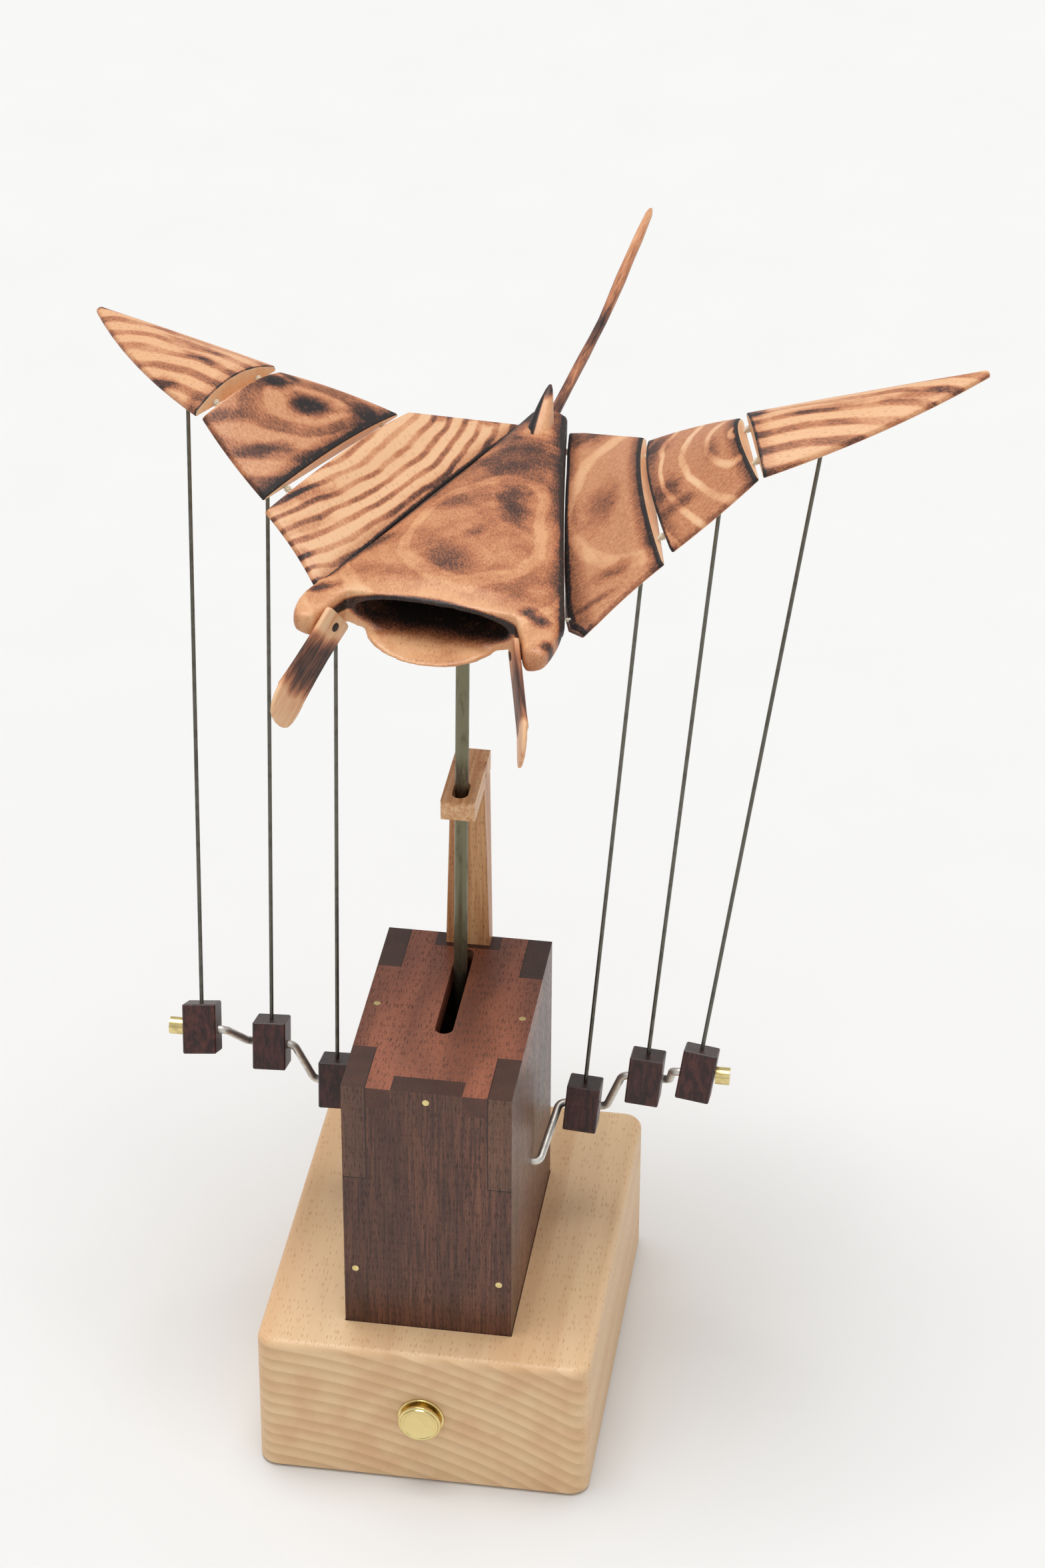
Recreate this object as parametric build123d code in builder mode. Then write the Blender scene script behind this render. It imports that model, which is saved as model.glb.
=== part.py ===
from build123d import *
from math import acos, atan2, cos, degrees, hypot, pi, radians, sin, sqrt, tan
import os

# A table-top automaton: a wooden manta ray whose jointed wings are flapped by a
# bent-wire crankshaft that runs through a walnut gearbox on a beech base.
# Millimetres. Origin: centre of the base's underside. +X is to the right of a viewer
# in front, +Y points away from that viewer, +Z is up.

# ---------------------------------------------------------------- driving dimensions
# Base
BASE_W, BASE_D, BASE_H = 100.0, 128.6, 48.0
BASE_CORNER_R = 6.0
BASE_EDGE_R = 2.5
SEAT_DEPTH = 1.5              # shallow recess that the gearbox stands in
SEAT_GAP = 0.2
POCKET_W, POCKET_FRONT, POCKET_BACK, POCKET_TOP = 64.0, -42.0, 46.0, 32.0
COVER_T, COVER_LIP = 3.0, 6.0
COVER_GAP = 0.25
SCREW_SHAFT_R, SCREW_HEAD_R, SCREW_L = 1.1, 2.1, 9.0
SCREW_SEAT, SCREW_HEAD_LOW = 1.8, 0.4     # countersunk depth and how far the head is sunk
SCREW_SPOTS = ((-35.0, -28.0), (35.0, -28.0), (-35.0, 32.0), (35.0, 32.0))
LEAD_HOLE_R = 4.0
LEAD_HOLE = (8.0, -30.0)

# Gearbox of walnut boards
BOX_W, BOX_D = 49.8, 80.8
BOX_FRONT = -50.8
BOX_TOP = 134.8
BOARD_T = 7.0
FINGER_Z = 102.0              # side boards show on the front and back faces above this
CORNER_FINGER = 20.0          # length of the side boards' fingers through the top
FRONT_TAB_W, BACK_TAB_W = 21.0, 19.6
ROD_SLOT_W, ROD_SLOT_FRONT, ROD_SLOT_BACK = 5.4, -21.4, 22.4
DOWEL_R, DOWEL_L = 1.0, 12.0
SHAFT_GAP = 0.1               # round the crankshaft, in the side boards

# Guide post and arm
POST_FOOT_W, POST_TOP_W = 13.2, 10.2
POST_FRONT, POST_FOOT_BACK, POST_TOP_BACK = 25.0, 30.7, 35.6
TENON = ((-4.0, 4.0), (26.0, 29.0), (BOX_TOP - 8.0, BOX_TOP))
ARM_W, ARM_FRONT, ARM_BACK = 10.2, 6.6, 36.6
ARM_BOTTOM, ARM_TOP = 190.6, 197.0
ARM_SLOT_W, ARM_SLOT_FRONT, ARM_SLOT_BACK = 4.8, 9.3, 18.4
PRONG_T, PRONG_FRONT, PRONG_BACK = 2.6, 25.0, 30.2
GUIDE_PIN, GUIDE_PIN_R = (27.4, 193.8), 0.7

# Crankshaft, bent from one wire; angles are from +Y towards +Z
SHAFT_Y, SHAFT_Z = -10.4, 82.4
WIRE_R = 1.2
BEND_R = 2.5
CENTRE_THROW = (18.5, -10.0)                                   # radius, angle
PIN_THROWS = ((21.1, 24.4), (28.3, 56.9), (39.7, 92.5))
PIN_X = (37.7, 56.85, 74.05)
BLOCK_W, BLOCK_D, BLOCK_ABOVE, BLOCK_BELOW = 10.0, 9.6, 7.6, 7.2
BLOCK_BORE_R = WIRE_R + 0.18
COLLAR_R, COLLAR_L = 2.6, 4.2
WIRE_END_X = PIN_X[2] + BLOCK_W / 2 + 0.4 + COLLAR_L

# Gear train from the motor
MODULE = 0.75
GEAR_TEETH, PINION_TEETH = 76, 16
PRESSURE_ANGLE = 20.0
TOOTH_BACKLASH = 0.10
GEAR_T, GEAR_X = 3.6, -17.6
GEAR_BORE_R, GEAR_HUB_R = WIRE_R + 0.02, 4.0
GEAR_WINDOWS, WINDOW_R, WINDOW_REACH = 6, 5.0, 17.0
PINION_BORE_R, PINION_HUB_R, PINION_HUB_L = 1.5, 3.2, 1.4
ADDENDUM, DEDENDUM = 0.85, 1.15

# Geared motor
MOTOR_Y = -32.4
CENTRE_DISTANCE = MODULE * (GEAR_TEETH + PINION_TEETH) / 2
MOTOR_Z = SHAFT_Z - sqrt(CENTRE_DISTANCE**2 - (SHAFT_Y - MOTOR_Y) ** 2)
MOTOR_D, MOTOR_H = 12.0, 10.0
GEARBOX_X, GEARBOX_L = -11.0, 9.0
CAN_R, CAN_L = 6.0, 15.0
BOSS_L, FRONT_BOSS_R, REAR_BOSS_R = 1.0, 2.0, 2.4
BRACKET_X = (-9.0, 8.0)
BRACKET_T = 1.4
BRACKET_SPOTS = ((-5.0, MOTOR_Y + 10.0), (4.0, MOTOR_Y + 10.0))
BRACKET_SCREW_R, BRACKET_HEAD_R, BRACKET_HEAD_H = 1.0, 1.9, 1.2

# Rods
ROD_R = 2.0                   # centre rod
ROD_FOOT_GAP = 2.0            # from the crank pin's centre to the end of a rod
PUSH_ROD_R = 0.6
PUSH_ROD_DEPTH = 2.6          # how far a push rod's tip stands in its wing panel

# Manta ray: its own plane is the middle of the wing panels' thickness, with the origin
# on the centre rod, +X to the manta's side at the viewer's right and +Y towards its tail
MANTA_Y, MANTA_Z = 18.8, 265.0
MANTA_YAW, MANTA_PITCH, MANTA_ROLL = -6.98, 1.49, 1.15
SKEW_X = -3.0                 # the hand-cut head sits this far to the left of the rod
PANEL_T = 6.0
INNER = ((39.7, -14.3), (6.2, 91.9), (61.6, 2.9), (39.0, 70.3))
MIDDLE = ((63.5, 6.9), (41.3, 67.2), (90.5, 23.3), (77.9, 56.3))
OUTER = ((93.7, 23.0), (80.4, 57.5), (146.0, 84.2), (144.4, 86.0))
LEFT_FLAPS = (27.75, 0.72, -32.24)
RIGHT_FLAPS = (38.40, 0.17, -30.34)
ROD_HOLES = ((50.9, 33.5), (77.0, 41.7), (105.7, 51.1))
HOLE_SLOTS = ((4.6, 3.6), (5.2, 4.4), (6.0, 6.8))              # size across and along
TIE_R, TIE_HOLE_R, TIE_HOLE_L, TIE_HOLE_START = 0.8, 1.7, 9.6, 2.6
TIE_IN, TIE_L = 6.4, 7.4      # how far a tie reaches into the inboard panel; its length
TAIL_R = 1.6
FIT = 0.02                    # radial gap of a glued or pressed round joint
INNER_RIM = ((37.8, -14.6), (6.2, 91.9))   # the inner panels' edge, just inboard of the hinge
DORSAL_T, DORSAL_FRONT, DORSAL_BACK, DORSAL_FLOOR = 2.6, 76.0, 88.0, 2.6

# Head
MOUTH_BACK = -22.0            # where the upper lip meets the cheeks
MOUTH_BOW = 1.4               # how far the upper lip bows forward in its middle
LIP_TOP = -6.4
LIP_W, LIP_REACH, LIP_CENTRE = 39.2, 13.6, -20.0
# distance along, half width, half height and height of the middle of the mouth's hollow
MOUTH_RINGS = ((-40.0, 25.5, 7.2, -1.6), (-23.0, 22.8, 5.9, -1.4), (-5.0, 13.0, 2.6, -0.2))

# Head fins
FIN_SPLAY = 24.0
FIN_DROOP = 38.0
FIN_L, FIN_W, FIN_T = 33.0, 13.6, 2.4
FIN_PIN = (25.4, -30.4, -3.0)                                  # from the head's centre
FIN_PIN_R = 1.1
FIN_PIN_L, FIN_PIN_SUNK = 8.0, 0.4
FIN_GAP = 0.3

# Push switch, cells
BUTTON_Z = 24.9
BUTTON_R, BUTTON_T, BUTTON_PROUD = 6.4, 1.6, 3.9
BEZEL_R, BEZEL_T = 7.0, 0.7
BARREL_R, BARREL_L, BARREL_GAP = 5.0, 17.0, 0.1
STEM_R, STEM_L, STEM_GAP = 3.0, 16.0, 0.06
NUT_R, NUT_SEAT = 8.2, 6.0
SWITCH_BODY_L = 12.0
TERMINAL_X, TERMINAL_W, TERMINAL_T, TERMINAL_L = 2.4, 1.8, 0.6, 4.0
CELL_R, CELL_L = 5.2, 44.0
CELL_Y = (14.0, 25.4)
CELL_START_X = -22.8
TRAY_X, TRAY_Y, TRAY_T = 26.0, (7.6, 31.8), 1.6
LEAD_R = 0.6

os.makedirs("parts", exist_ok=True)


def keep(builder, name):
    """Label a finished piece and write it under its own name."""
    builder.part.label = name
    export_step(builder.part, f"parts/{name}.step")


# ---------------------------------------------------------------- places and planes
def crank_point(x, radius, angle):
    """A point on the crankshaft, from its distance and angle about the shaft's axis."""
    return (x, SHAFT_Y + radius * cos(radians(angle)), SHAFT_Z + radius * sin(radians(angle)))


def manta_plane():
    """The plane of the manta ray's body."""
    x_dir = Vector(1, 0, 0)
    z_dir = Vector(0, 0, 1)
    for axis, angle in ((Axis.Y, MANTA_ROLL), (Axis.X, MANTA_PITCH), (Axis.Z, MANTA_YAW)):
        x_dir = x_dir.rotate(axis, angle)
        z_dir = z_dir.rotate(axis, angle)
    return Plane(origin=(0, MANTA_Y, MANTA_Z), x_dir=x_dir, z_dir=z_dir)


def flapped(plane, back, front, angle):
    """A plane turned by an angle about the line from back to front, given in that plane."""
    pivot = plane.from_local_coords(Vector(*back, 0))
    along = plane.from_local_coords(Vector(*front, 0)) - pivot
    turn = Axis((0, 0, 0), along)
    origin = pivot + (plane.origin - pivot).rotate(turn, angle)
    return Plane(origin=origin, x_dir=plane.x_dir.rotate(turn, angle),
                 z_dir=plane.z_dir.rotate(turn, angle))


def on_side(side, point):
    """Mirror a flat point to the manta's left (-1) or right (+1) side."""
    return (side * point[0], point[1])


def wing_planes(side, flaps):
    """The planes of the inner, middle and outer panels of one wing."""
    planes = []
    plane = MANTA
    for panel, flap in zip((INNER, MIDDLE, OUTER), flaps):
        plane = flapped(plane, on_side(side, panel[1]), on_side(side, panel[0]), side * flap)
        planes.append(plane)
    return planes


MANTA = manta_plane()
SIDES = {"left": -1, "right": 1}
WINGS = {"left": wing_planes(-1, LEFT_FLAPS), "right": wing_planes(1, RIGHT_FLAPS)}


def rod_ends(name, index):
    """The crank pin's centre and the tip of one push rod."""
    side = SIDES[name]
    foot = Vector(*crank_point(side * PIN_X[index], *PIN_THROWS[index]))
    hole = on_side(side, ROD_HOLES[index])
    tip = WINGS[name][index].from_local_coords(Vector(*hole, PUSH_ROD_DEPTH - PANEL_T / 2))
    return foot, tip


def upright_plane(foot, tip):
    """A plane across a rod at its foot, with its own X as near to the world's X as it can be."""
    z_dir = (tip - foot).normalized()
    x_dir = (Vector(1, 0, 0) - z_dir * z_dir.X).normalized()
    return Plane(origin=foot, x_dir=x_dir, z_dir=z_dir)


# ---------------------------------------------------------------- base
def base_block():
    seat_w = BOX_W + 2 * SEAT_GAP
    seat_centre = BOX_FRONT + BOX_D / 2
    pocket_mid = (POCKET_FRONT + POCKET_BACK) / 2
    pocket_d = POCKET_BACK - POCKET_FRONT
    with BuildPart() as base:
        with BuildSketch(Plane.XY):
            RectangleRounded(BASE_W, BASE_D, BASE_CORNER_R)
        extrude(amount=BASE_H)
        fillet(base.faces().sort_by(Axis.Z)[-1].edges(), BASE_EDGE_R)
        chamfer(base.faces().sort_by(Axis.Z)[0].edges(), 0.8)
        with BuildSketch(Plane.XY.offset(BASE_H - SEAT_DEPTH)):
            with Locations((0, seat_centre)):
                Rectangle(seat_w, BOX_D + 2 * SEAT_GAP)
        extrude(amount=SEAT_DEPTH, mode=Mode.SUBTRACT)
        with BuildSketch(Plane.XY):
            with Locations((0, pocket_mid)):
                Rectangle(POCKET_W, pocket_d)
        extrude(amount=POCKET_TOP, mode=Mode.SUBTRACT)
        with BuildSketch(Plane.XY):
            with Locations((0, pocket_mid)):
                RectangleRounded(POCKET_W + 2 * COVER_LIP, pocket_d + 2 * COVER_LIP, 4)
        extrude(amount=COVER_T, mode=Mode.SUBTRACT)
        with BuildSketch(Plane.XY.offset(POCKET_TOP)):
            with Locations(LEAD_HOLE):
                Circle(LEAD_HOLE_R)
        extrude(amount=BASE_H, mode=Mode.SUBTRACT)
        with BuildSketch(Plane.XZ.offset(BASE_D / 2)):
            with Locations((0, BUTTON_Z)):
                Circle(BARREL_R + BARREL_GAP)
        extrude(amount=-(BASE_D / 2 + POCKET_FRONT), mode=Mode.SUBTRACT)
        with BuildSketch(Plane.XZ.offset(-POCKET_FRONT)):
            with Locations((0, BUTTON_Z)):
                Circle(NUT_R)
        extrude(amount=NUT_SEAT, mode=Mode.SUBTRACT)
        with BuildSketch(Plane.XY.offset(COVER_T)):
            with Locations(*SCREW_SPOTS):
                Circle(SCREW_SHAFT_R)
        extrude(amount=SCREW_L, mode=Mode.SUBTRACT)
    keep(base, "base_block")


def base_cover():
    pocket_mid = (POCKET_FRONT + POCKET_BACK) / 2
    cover_w = POCKET_W + 2 * (COVER_LIP - COVER_GAP)
    cover_d = POCKET_BACK - POCKET_FRONT + 2 * (COVER_LIP - COVER_GAP)
    with BuildPart() as cover:
        with BuildSketch(Plane.XY):
            with Locations((0, pocket_mid)):
                RectangleRounded(cover_w, cover_d, 3.8)
        extrude(amount=COVER_T)
        with BuildSketch(Plane.XY):
            with Locations(*SCREW_SPOTS):
                Circle(SCREW_SHAFT_R + 0.2)
        extrude(amount=COVER_T, mode=Mode.SUBTRACT)
        with BuildSketch(Plane.XY):
            with Locations(*SCREW_SPOTS):
                Circle(SCREW_HEAD_R + 0.2)
        extrude(amount=SCREW_SEAT, mode=Mode.SUBTRACT)
    keep(cover, "base_cover")

    with BuildPart() as screws:
        with BuildSketch(Plane.XY.offset(SCREW_HEAD_LOW)):
            with Locations(*SCREW_SPOTS):
                Circle(SCREW_HEAD_R)
        extrude(amount=SCREW_SEAT - SCREW_HEAD_LOW)
        with BuildSketch(Plane.XY.offset(SCREW_SEAT)):
            with Locations(*SCREW_SPOTS):
                Circle(SCREW_SHAFT_R)
        extrude(amount=SCREW_L)
        with BuildSketch(Plane.XY.offset(SCREW_HEAD_LOW)):
            with Locations(*SCREW_SPOTS):
                Rectangle(2.8, 0.6)
                Rectangle(0.6, 2.8)
        extrude(amount=0.8, mode=Mode.SUBTRACT)
    keep(screws, "base_cover_screws")


# ---------------------------------------------------------------- gearbox boards
BOX_BACK = BOX_FRONT + BOX_D
BOX_BOTTOM = BASE_H - SEAT_DEPTH
INNER_X = BOX_W / 2 - BOARD_T
INNER_FRONT = BOX_FRONT + BOARD_T
INNER_BACK = BOX_BACK - BOARD_T
TOP_UNDER = BOX_TOP - BOARD_T
DOWEL_AXES_FRONT = ((-0.1, 131.4), (-21.6, 68.1), (21.2, 67.0))
DOWEL_AXES_TOP = ((-21.6, -9.3), (21.9, -10.4))


def slab(x_range, y_range, z_range, mode=Mode.ADD):
    """A board-shaped block between two corners, inside the part being built."""
    with BuildSketch(Plane.XY.offset(z_range[0])) as outline:
        with Locations((sum(x_range) / 2, sum(y_range) / 2)):
            Rectangle(x_range[1] - x_range[0], y_range[1] - y_range[0])
    extrude(outline.sketch, amount=z_range[1] - z_range[0], mode=mode)


def dowel_pins(mode):
    """The dowels through the front, back and top boards, as pins or as holes."""
    for plane, inwards, spots in (
        (Plane.XZ.offset(-BOX_FRONT), -1, DOWEL_AXES_FRONT),
        (Plane.XZ.offset(-BOX_BACK), 1, DOWEL_AXES_FRONT),
        (Plane.XY.offset(BOX_TOP), -1, DOWEL_AXES_TOP),
    ):
        with BuildSketch(plane) as ends:
            with Locations(*spots):
                Circle(DOWEL_R)
        extrude(ends.sketch, amount=inwards * DOWEL_L, mode=mode)


def end_board(name, y_range, tab_w):
    """The front or back board, with its tab up through the top board."""
    with BuildPart() as board:
        slab((-BOX_W / 2, BOX_W / 2), y_range, (BOX_BOTTOM, FINGER_Z))
        slab((-INNER_X, INNER_X), y_range, (FINGER_Z, TOP_UNDER))
        slab((-tab_w / 2, tab_w / 2), y_range, (TOP_UNDER, BOX_TOP))
        dowel_pins(Mode.SUBTRACT)
        if name == "box_back":
            slab(*TENON, Mode.SUBTRACT)
    keep(board, name)


def side_boards(name, side):
    """A side wall in two boards that meet on the crankshaft's axis."""
    x_range = tuple(sorted((side * INNER_X, side * BOX_W / 2)))
    shaft_hole = Plane.YZ.offset(x_range[0])
    with BuildPart() as lower:
        slab(x_range, (INNER_FRONT, INNER_BACK), (BOX_BOTTOM, SHAFT_Z))
        with BuildSketch(shaft_hole):
            with Locations((SHAFT_Y, SHAFT_Z)):
                Circle(WIRE_R + SHAFT_GAP)
        extrude(amount=BOARD_T, mode=Mode.SUBTRACT)
        dowel_pins(Mode.SUBTRACT)
    keep(lower, f"box_{name}_lower")
    with BuildPart() as upper:
        slab(x_range, (INNER_FRONT, INNER_BACK), (SHAFT_Z, FINGER_Z))
        slab(x_range, (BOX_FRONT, BOX_BACK), (FINGER_Z, TOP_UNDER))
        slab(x_range, (BOX_FRONT, BOX_FRONT + CORNER_FINGER), (TOP_UNDER, BOX_TOP))
        slab(x_range, (BOX_BACK - CORNER_FINGER, BOX_BACK), (TOP_UNDER, BOX_TOP))
        with BuildSketch(shaft_hole):
            with Locations((SHAFT_Y, SHAFT_Z)):
                Circle(WIRE_R + SHAFT_GAP)
        extrude(amount=BOARD_T, mode=Mode.SUBTRACT)
        dowel_pins(Mode.SUBTRACT)
    keep(upper, f"box_{name}_upper")


def box_top():
    slot_mid = (ROD_SLOT_FRONT + ROD_SLOT_BACK) / 2
    with BuildPart() as top:
        slab((-BOX_W / 2, BOX_W / 2), (BOX_FRONT + CORNER_FINGER, BOX_BACK - CORNER_FINGER),
             (TOP_UNDER, BOX_TOP))
        slab((-INNER_X, INNER_X), (BOX_FRONT, BOX_BACK), (TOP_UNDER, BOX_TOP))
        slab((-FRONT_TAB_W / 2, FRONT_TAB_W / 2), (BOX_FRONT, INNER_FRONT),
             (TOP_UNDER, BOX_TOP), Mode.SUBTRACT)
        slab((-BACK_TAB_W / 2, BACK_TAB_W / 2), (INNER_BACK, BOX_BACK),
             (TOP_UNDER, BOX_TOP), Mode.SUBTRACT)
        with BuildSketch(Plane.XY.offset(TOP_UNDER)):
            with Locations((0, slot_mid)):
                SlotOverall(ROD_SLOT_BACK - ROD_SLOT_FRONT, ROD_SLOT_W, rotation=90)
        extrude(amount=BOARD_T, mode=Mode.SUBTRACT)
        dowel_pins(Mode.SUBTRACT)
    keep(top, "box_top")


def box_dowels():
    with BuildPart() as dowels:
        dowel_pins(Mode.ADD)
    keep(dowels, "box_dowels")


# ---------------------------------------------------------------- guide post and arm
def guide_post():
    """A tapered post with a tenon below and two prongs that grip the arm."""
    prong_x = (ARM_W / 2 - PRONG_T, ARM_W / 2)
    with BuildPart() as post:
        with BuildSketch(Plane.XY.offset(BOX_TOP)):
            with Locations((0, (POST_FRONT + POST_FOOT_BACK) / 2)):
                Rectangle(POST_FOOT_W, POST_FOOT_BACK - POST_FRONT)
        with BuildSketch(Plane.XY.offset(ARM_BOTTOM)):
            with Locations((0, (POST_FRONT + POST_TOP_BACK) / 2)):
                Rectangle(POST_TOP_W, POST_TOP_BACK - POST_FRONT)
        loft(ruled=True)
        slab(*TENON)
        for side in SIDES.values():
            x_range = tuple(sorted((side * prong_x[0], side * prong_x[1])))
            slab(x_range, (PRONG_FRONT, PRONG_BACK), (ARM_BOTTOM, ARM_TOP))
        guide_pin_hole()
        dowel_pins(Mode.SUBTRACT)
    keep(post, "guide_post")


def guide_pin_hole():
    """The cross hole for the pin, through the prongs and the arm."""
    with BuildSketch(Plane.YZ.offset(-ARM_W / 2)) as hole:
        with Locations(GUIDE_PIN):
            Circle(GUIDE_PIN_R)
    extrude(hole.sketch, amount=ARM_W, mode=Mode.SUBTRACT)


def guide_arm():
    """The slotted arm that the centre rod slides and rocks in."""
    with BuildPart() as arm:
        with BuildSketch(Plane.XY.offset(ARM_BOTTOM)):
            with Locations((0, (ARM_FRONT + ARM_BACK) / 2)):
                Rectangle(ARM_W, ARM_BACK - ARM_FRONT)
        extrude(amount=ARM_TOP - ARM_BOTTOM)
        fillet(arm.edges().group_by(Axis.Y)[0], 1.0)
        with BuildSketch(Plane.XY.offset(ARM_BOTTOM)):
            with Locations((0, (ARM_SLOT_FRONT + ARM_SLOT_BACK) / 2)):
                SlotOverall(ARM_SLOT_BACK - ARM_SLOT_FRONT, ARM_SLOT_W, rotation=90)
        extrude(amount=ARM_TOP - ARM_BOTTOM, mode=Mode.SUBTRACT)
        for side in SIDES.values():
            x_range = tuple(sorted((side * (ARM_W / 2 - PRONG_T), side * ARM_W)))
            slab(x_range, (PRONG_FRONT, PRONG_BACK), (ARM_BOTTOM, ARM_TOP), Mode.SUBTRACT)
        guide_pin_hole()
    keep(arm, "guide_arm")

    with BuildPart() as pin:
        with BuildSketch(Plane.YZ.offset(-ARM_W / 2 + 0.3)):
            with Locations(GUIDE_PIN):
                Circle(GUIDE_PIN_R)
        extrude(amount=ARM_W - 0.6)
    keep(pin, "guide_pin")


# ---------------------------------------------------------------- motor and switch
def motor_outline(x, radius=None):
    """On a plane across the motor, its box-shaped outline or a circle about its shaft."""
    with BuildSketch(Plane.YZ.offset(x)) as outline:
        with Locations((MOTOR_Y, MOTOR_Z)):
            if radius is None:
                Rectangle(MOTOR_D, MOTOR_H)
            else:
                Circle(radius)
    return outline.sketch


def motor():
    """A small flat geared motor, lying across the box below the crankshaft."""
    can_x = GEARBOX_X + GEARBOX_L
    with BuildPart() as gearbox:
        extrude(motor_outline(GEARBOX_X), amount=GEARBOX_L)
        extrude(motor_outline(GEARBOX_X - BOSS_L, FRONT_BOSS_R), amount=BOSS_L)
    keep(gearbox, "motor_gearbox")
    with BuildPart() as can:
        extrude(motor_outline(can_x), amount=CAN_L)
        extrude(motor_outline(can_x, CAN_R), amount=CAN_L, mode=Mode.INTERSECT)
        extrude(motor_outline(can_x + CAN_L, REAR_BOSS_R), amount=BOSS_L)
    keep(can, "motor_can")
    motor_mount()


def bracket_holes(low, high, radius, mode):
    """Both bracket screws' shanks, heads or holes between two heights."""
    with BuildSketch(Plane.XY.offset(low)) as outline:
        with Locations(*BRACKET_SPOTS):
            Circle(radius)
    extrude(outline.sketch, amount=high - low, mode=mode)


def motor_mount():
    """The strap that holds the motor on the base, and its two screws."""
    floor = BOX_BOTTOM
    top = floor + BRACKET_T
    inner_y = MOTOR_D / 2 + 0.05
    outer_y = MOTOR_D / 2 + 1.5
    ceiling = MOTOR_Z + MOTOR_H / 2
    with BuildPart() as bracket:
        slab(BRACKET_X, (MOTOR_Y - outer_y, MOTOR_Y + outer_y), (floor, ceiling + 1.5))
        slab(BRACKET_X, (MOTOR_Y - inner_y, MOTOR_Y + inner_y), (floor, ceiling + 0.05),
             Mode.SUBTRACT)
        slab(BRACKET_X, (MOTOR_Y - 10.5, MOTOR_Y - inner_y), (floor, top))
        slab(BRACKET_X, (MOTOR_Y + inner_y, MOTOR_Y + 12.5), (floor, top))
        bracket_holes(floor, top, BRACKET_SCREW_R + 0.1, Mode.SUBTRACT)
    keep(bracket, "motor_bracket")
    with BuildPart() as screws:
        bracket_holes(top, top + BRACKET_HEAD_H, BRACKET_HEAD_R, Mode.ADD)
        bracket_holes(floor, top, BRACKET_SCREW_R, Mode.ADD)
    keep(screws, "motor_screws")


def involute_tooth(teeth, middle):
    """Face of one gear tooth about the sketch origin, its middle at an angle in degrees."""
    pitch_r = MODULE * teeth / 2
    base_r = pitch_r * cos(radians(PRESSURE_ANGLE))
    tip_r = pitch_r + ADDENDUM * MODULE
    root_r = pitch_r - DEDENDUM * MODULE
    flank = tan(radians(PRESSURE_ANGLE)) - radians(PRESSURE_ANGLE)
    half = (pi * MODULE / 2 - TOOTH_BACKLASH) / (2 * pitch_r) + flank
    start_r = max(base_r, root_r)

    def flank_point(radius, sign):
        roll = acos(base_r / radius) if radius > base_r else 0.0
        angle = half - (tan(roll) - roll)
        turn = radians(middle) + sign * angle
        return (radius * cos(turn), radius * sin(turn))

    def ray_point(radius, sign):
        turn = radians(middle) + sign * half
        return (radius * cos(turn), radius * sin(turn))

    steps = [start_r + (tip_r - start_r) * i / 4 for i in range(5)]
    right = [flank_point(r, -1) for r in steps]
    left = [flank_point(r, 1) for r in steps]
    inner_r = root_r - 0.3
    with BuildLine() as outline:
        Line(ray_point(inner_r, -1), right[0])
        Spline(*right)
        Line(right[-1], left[-1])
        Spline(*left)
        Line(left[0], ray_point(inner_r, 1))
        Line(ray_point(inner_r, 1), ray_point(inner_r, -1))
    make_face(outline.line)


def gear(name, teeth, centre, first_tooth, bore_r, hub_r, hub_x, holes):
    """A spur gear on an axis along X, with a hub; the first tooth points at an angle."""
    plane = Plane(origin=(GEAR_X, *centre), x_dir=(0, 1, 0), z_dir=(1, 0, 0))
    hub_plane = Plane(origin=(hub_x[0], *centre), x_dir=(0, 1, 0), z_dir=(1, 0, 0))
    root_r = MODULE * teeth / 2 - DEDENDUM * MODULE
    with BuildPart() as wheel:
        with BuildSketch(plane):
            Circle(root_r)
            for tooth in range(teeth):
                involute_tooth(teeth, first_tooth + 360.0 * tooth / teeth)
            if holes:
                with PolarLocations(WINDOW_REACH, holes):
                    Circle(WINDOW_R, mode=Mode.SUBTRACT)
        extrude(amount=GEAR_T)
        with BuildSketch(hub_plane):
            Circle(hub_r)
        extrude(amount=hub_x[1] - hub_x[0])
        with BuildSketch(hub_plane):
            Circle(bore_r)
        extrude(amount=hub_x[1] - hub_x[0], mode=Mode.SUBTRACT)
        if name == "motor_pinion":
            with BuildSketch(hub_plane):
                Circle(bore_r)
            extrude(amount=GEARBOX_X - BOSS_L - hub_x[0])
    keep(wheel, name)


def gears():
    line = degrees(atan2(MOTOR_Z - SHAFT_Z, MOTOR_Y - SHAFT_Y))
    gear("crank_gear", GEAR_TEETH, (SHAFT_Y, SHAFT_Z), line, GEAR_BORE_R, GEAR_HUB_R,
         (GEAR_X, GEAR_X + GEAR_T), GEAR_WINDOWS)
    gear("motor_pinion", PINION_TEETH, (MOTOR_Y, MOTOR_Z), line + 180 - 180.0 / PINION_TEETH,
         PINION_BORE_R, PINION_HUB_R, (GEAR_X, GEAR_X + GEAR_T + PINION_HUB_L), 0)


def switch_disc(out, radius):
    """A circle on the button's axis, some way out from the base's front face."""
    with BuildSketch(Plane.XZ.offset(BASE_D / 2 + out)) as disc:
        with Locations((0, BUTTON_Z)):
            Circle(radius)
    return disc.sketch


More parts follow.
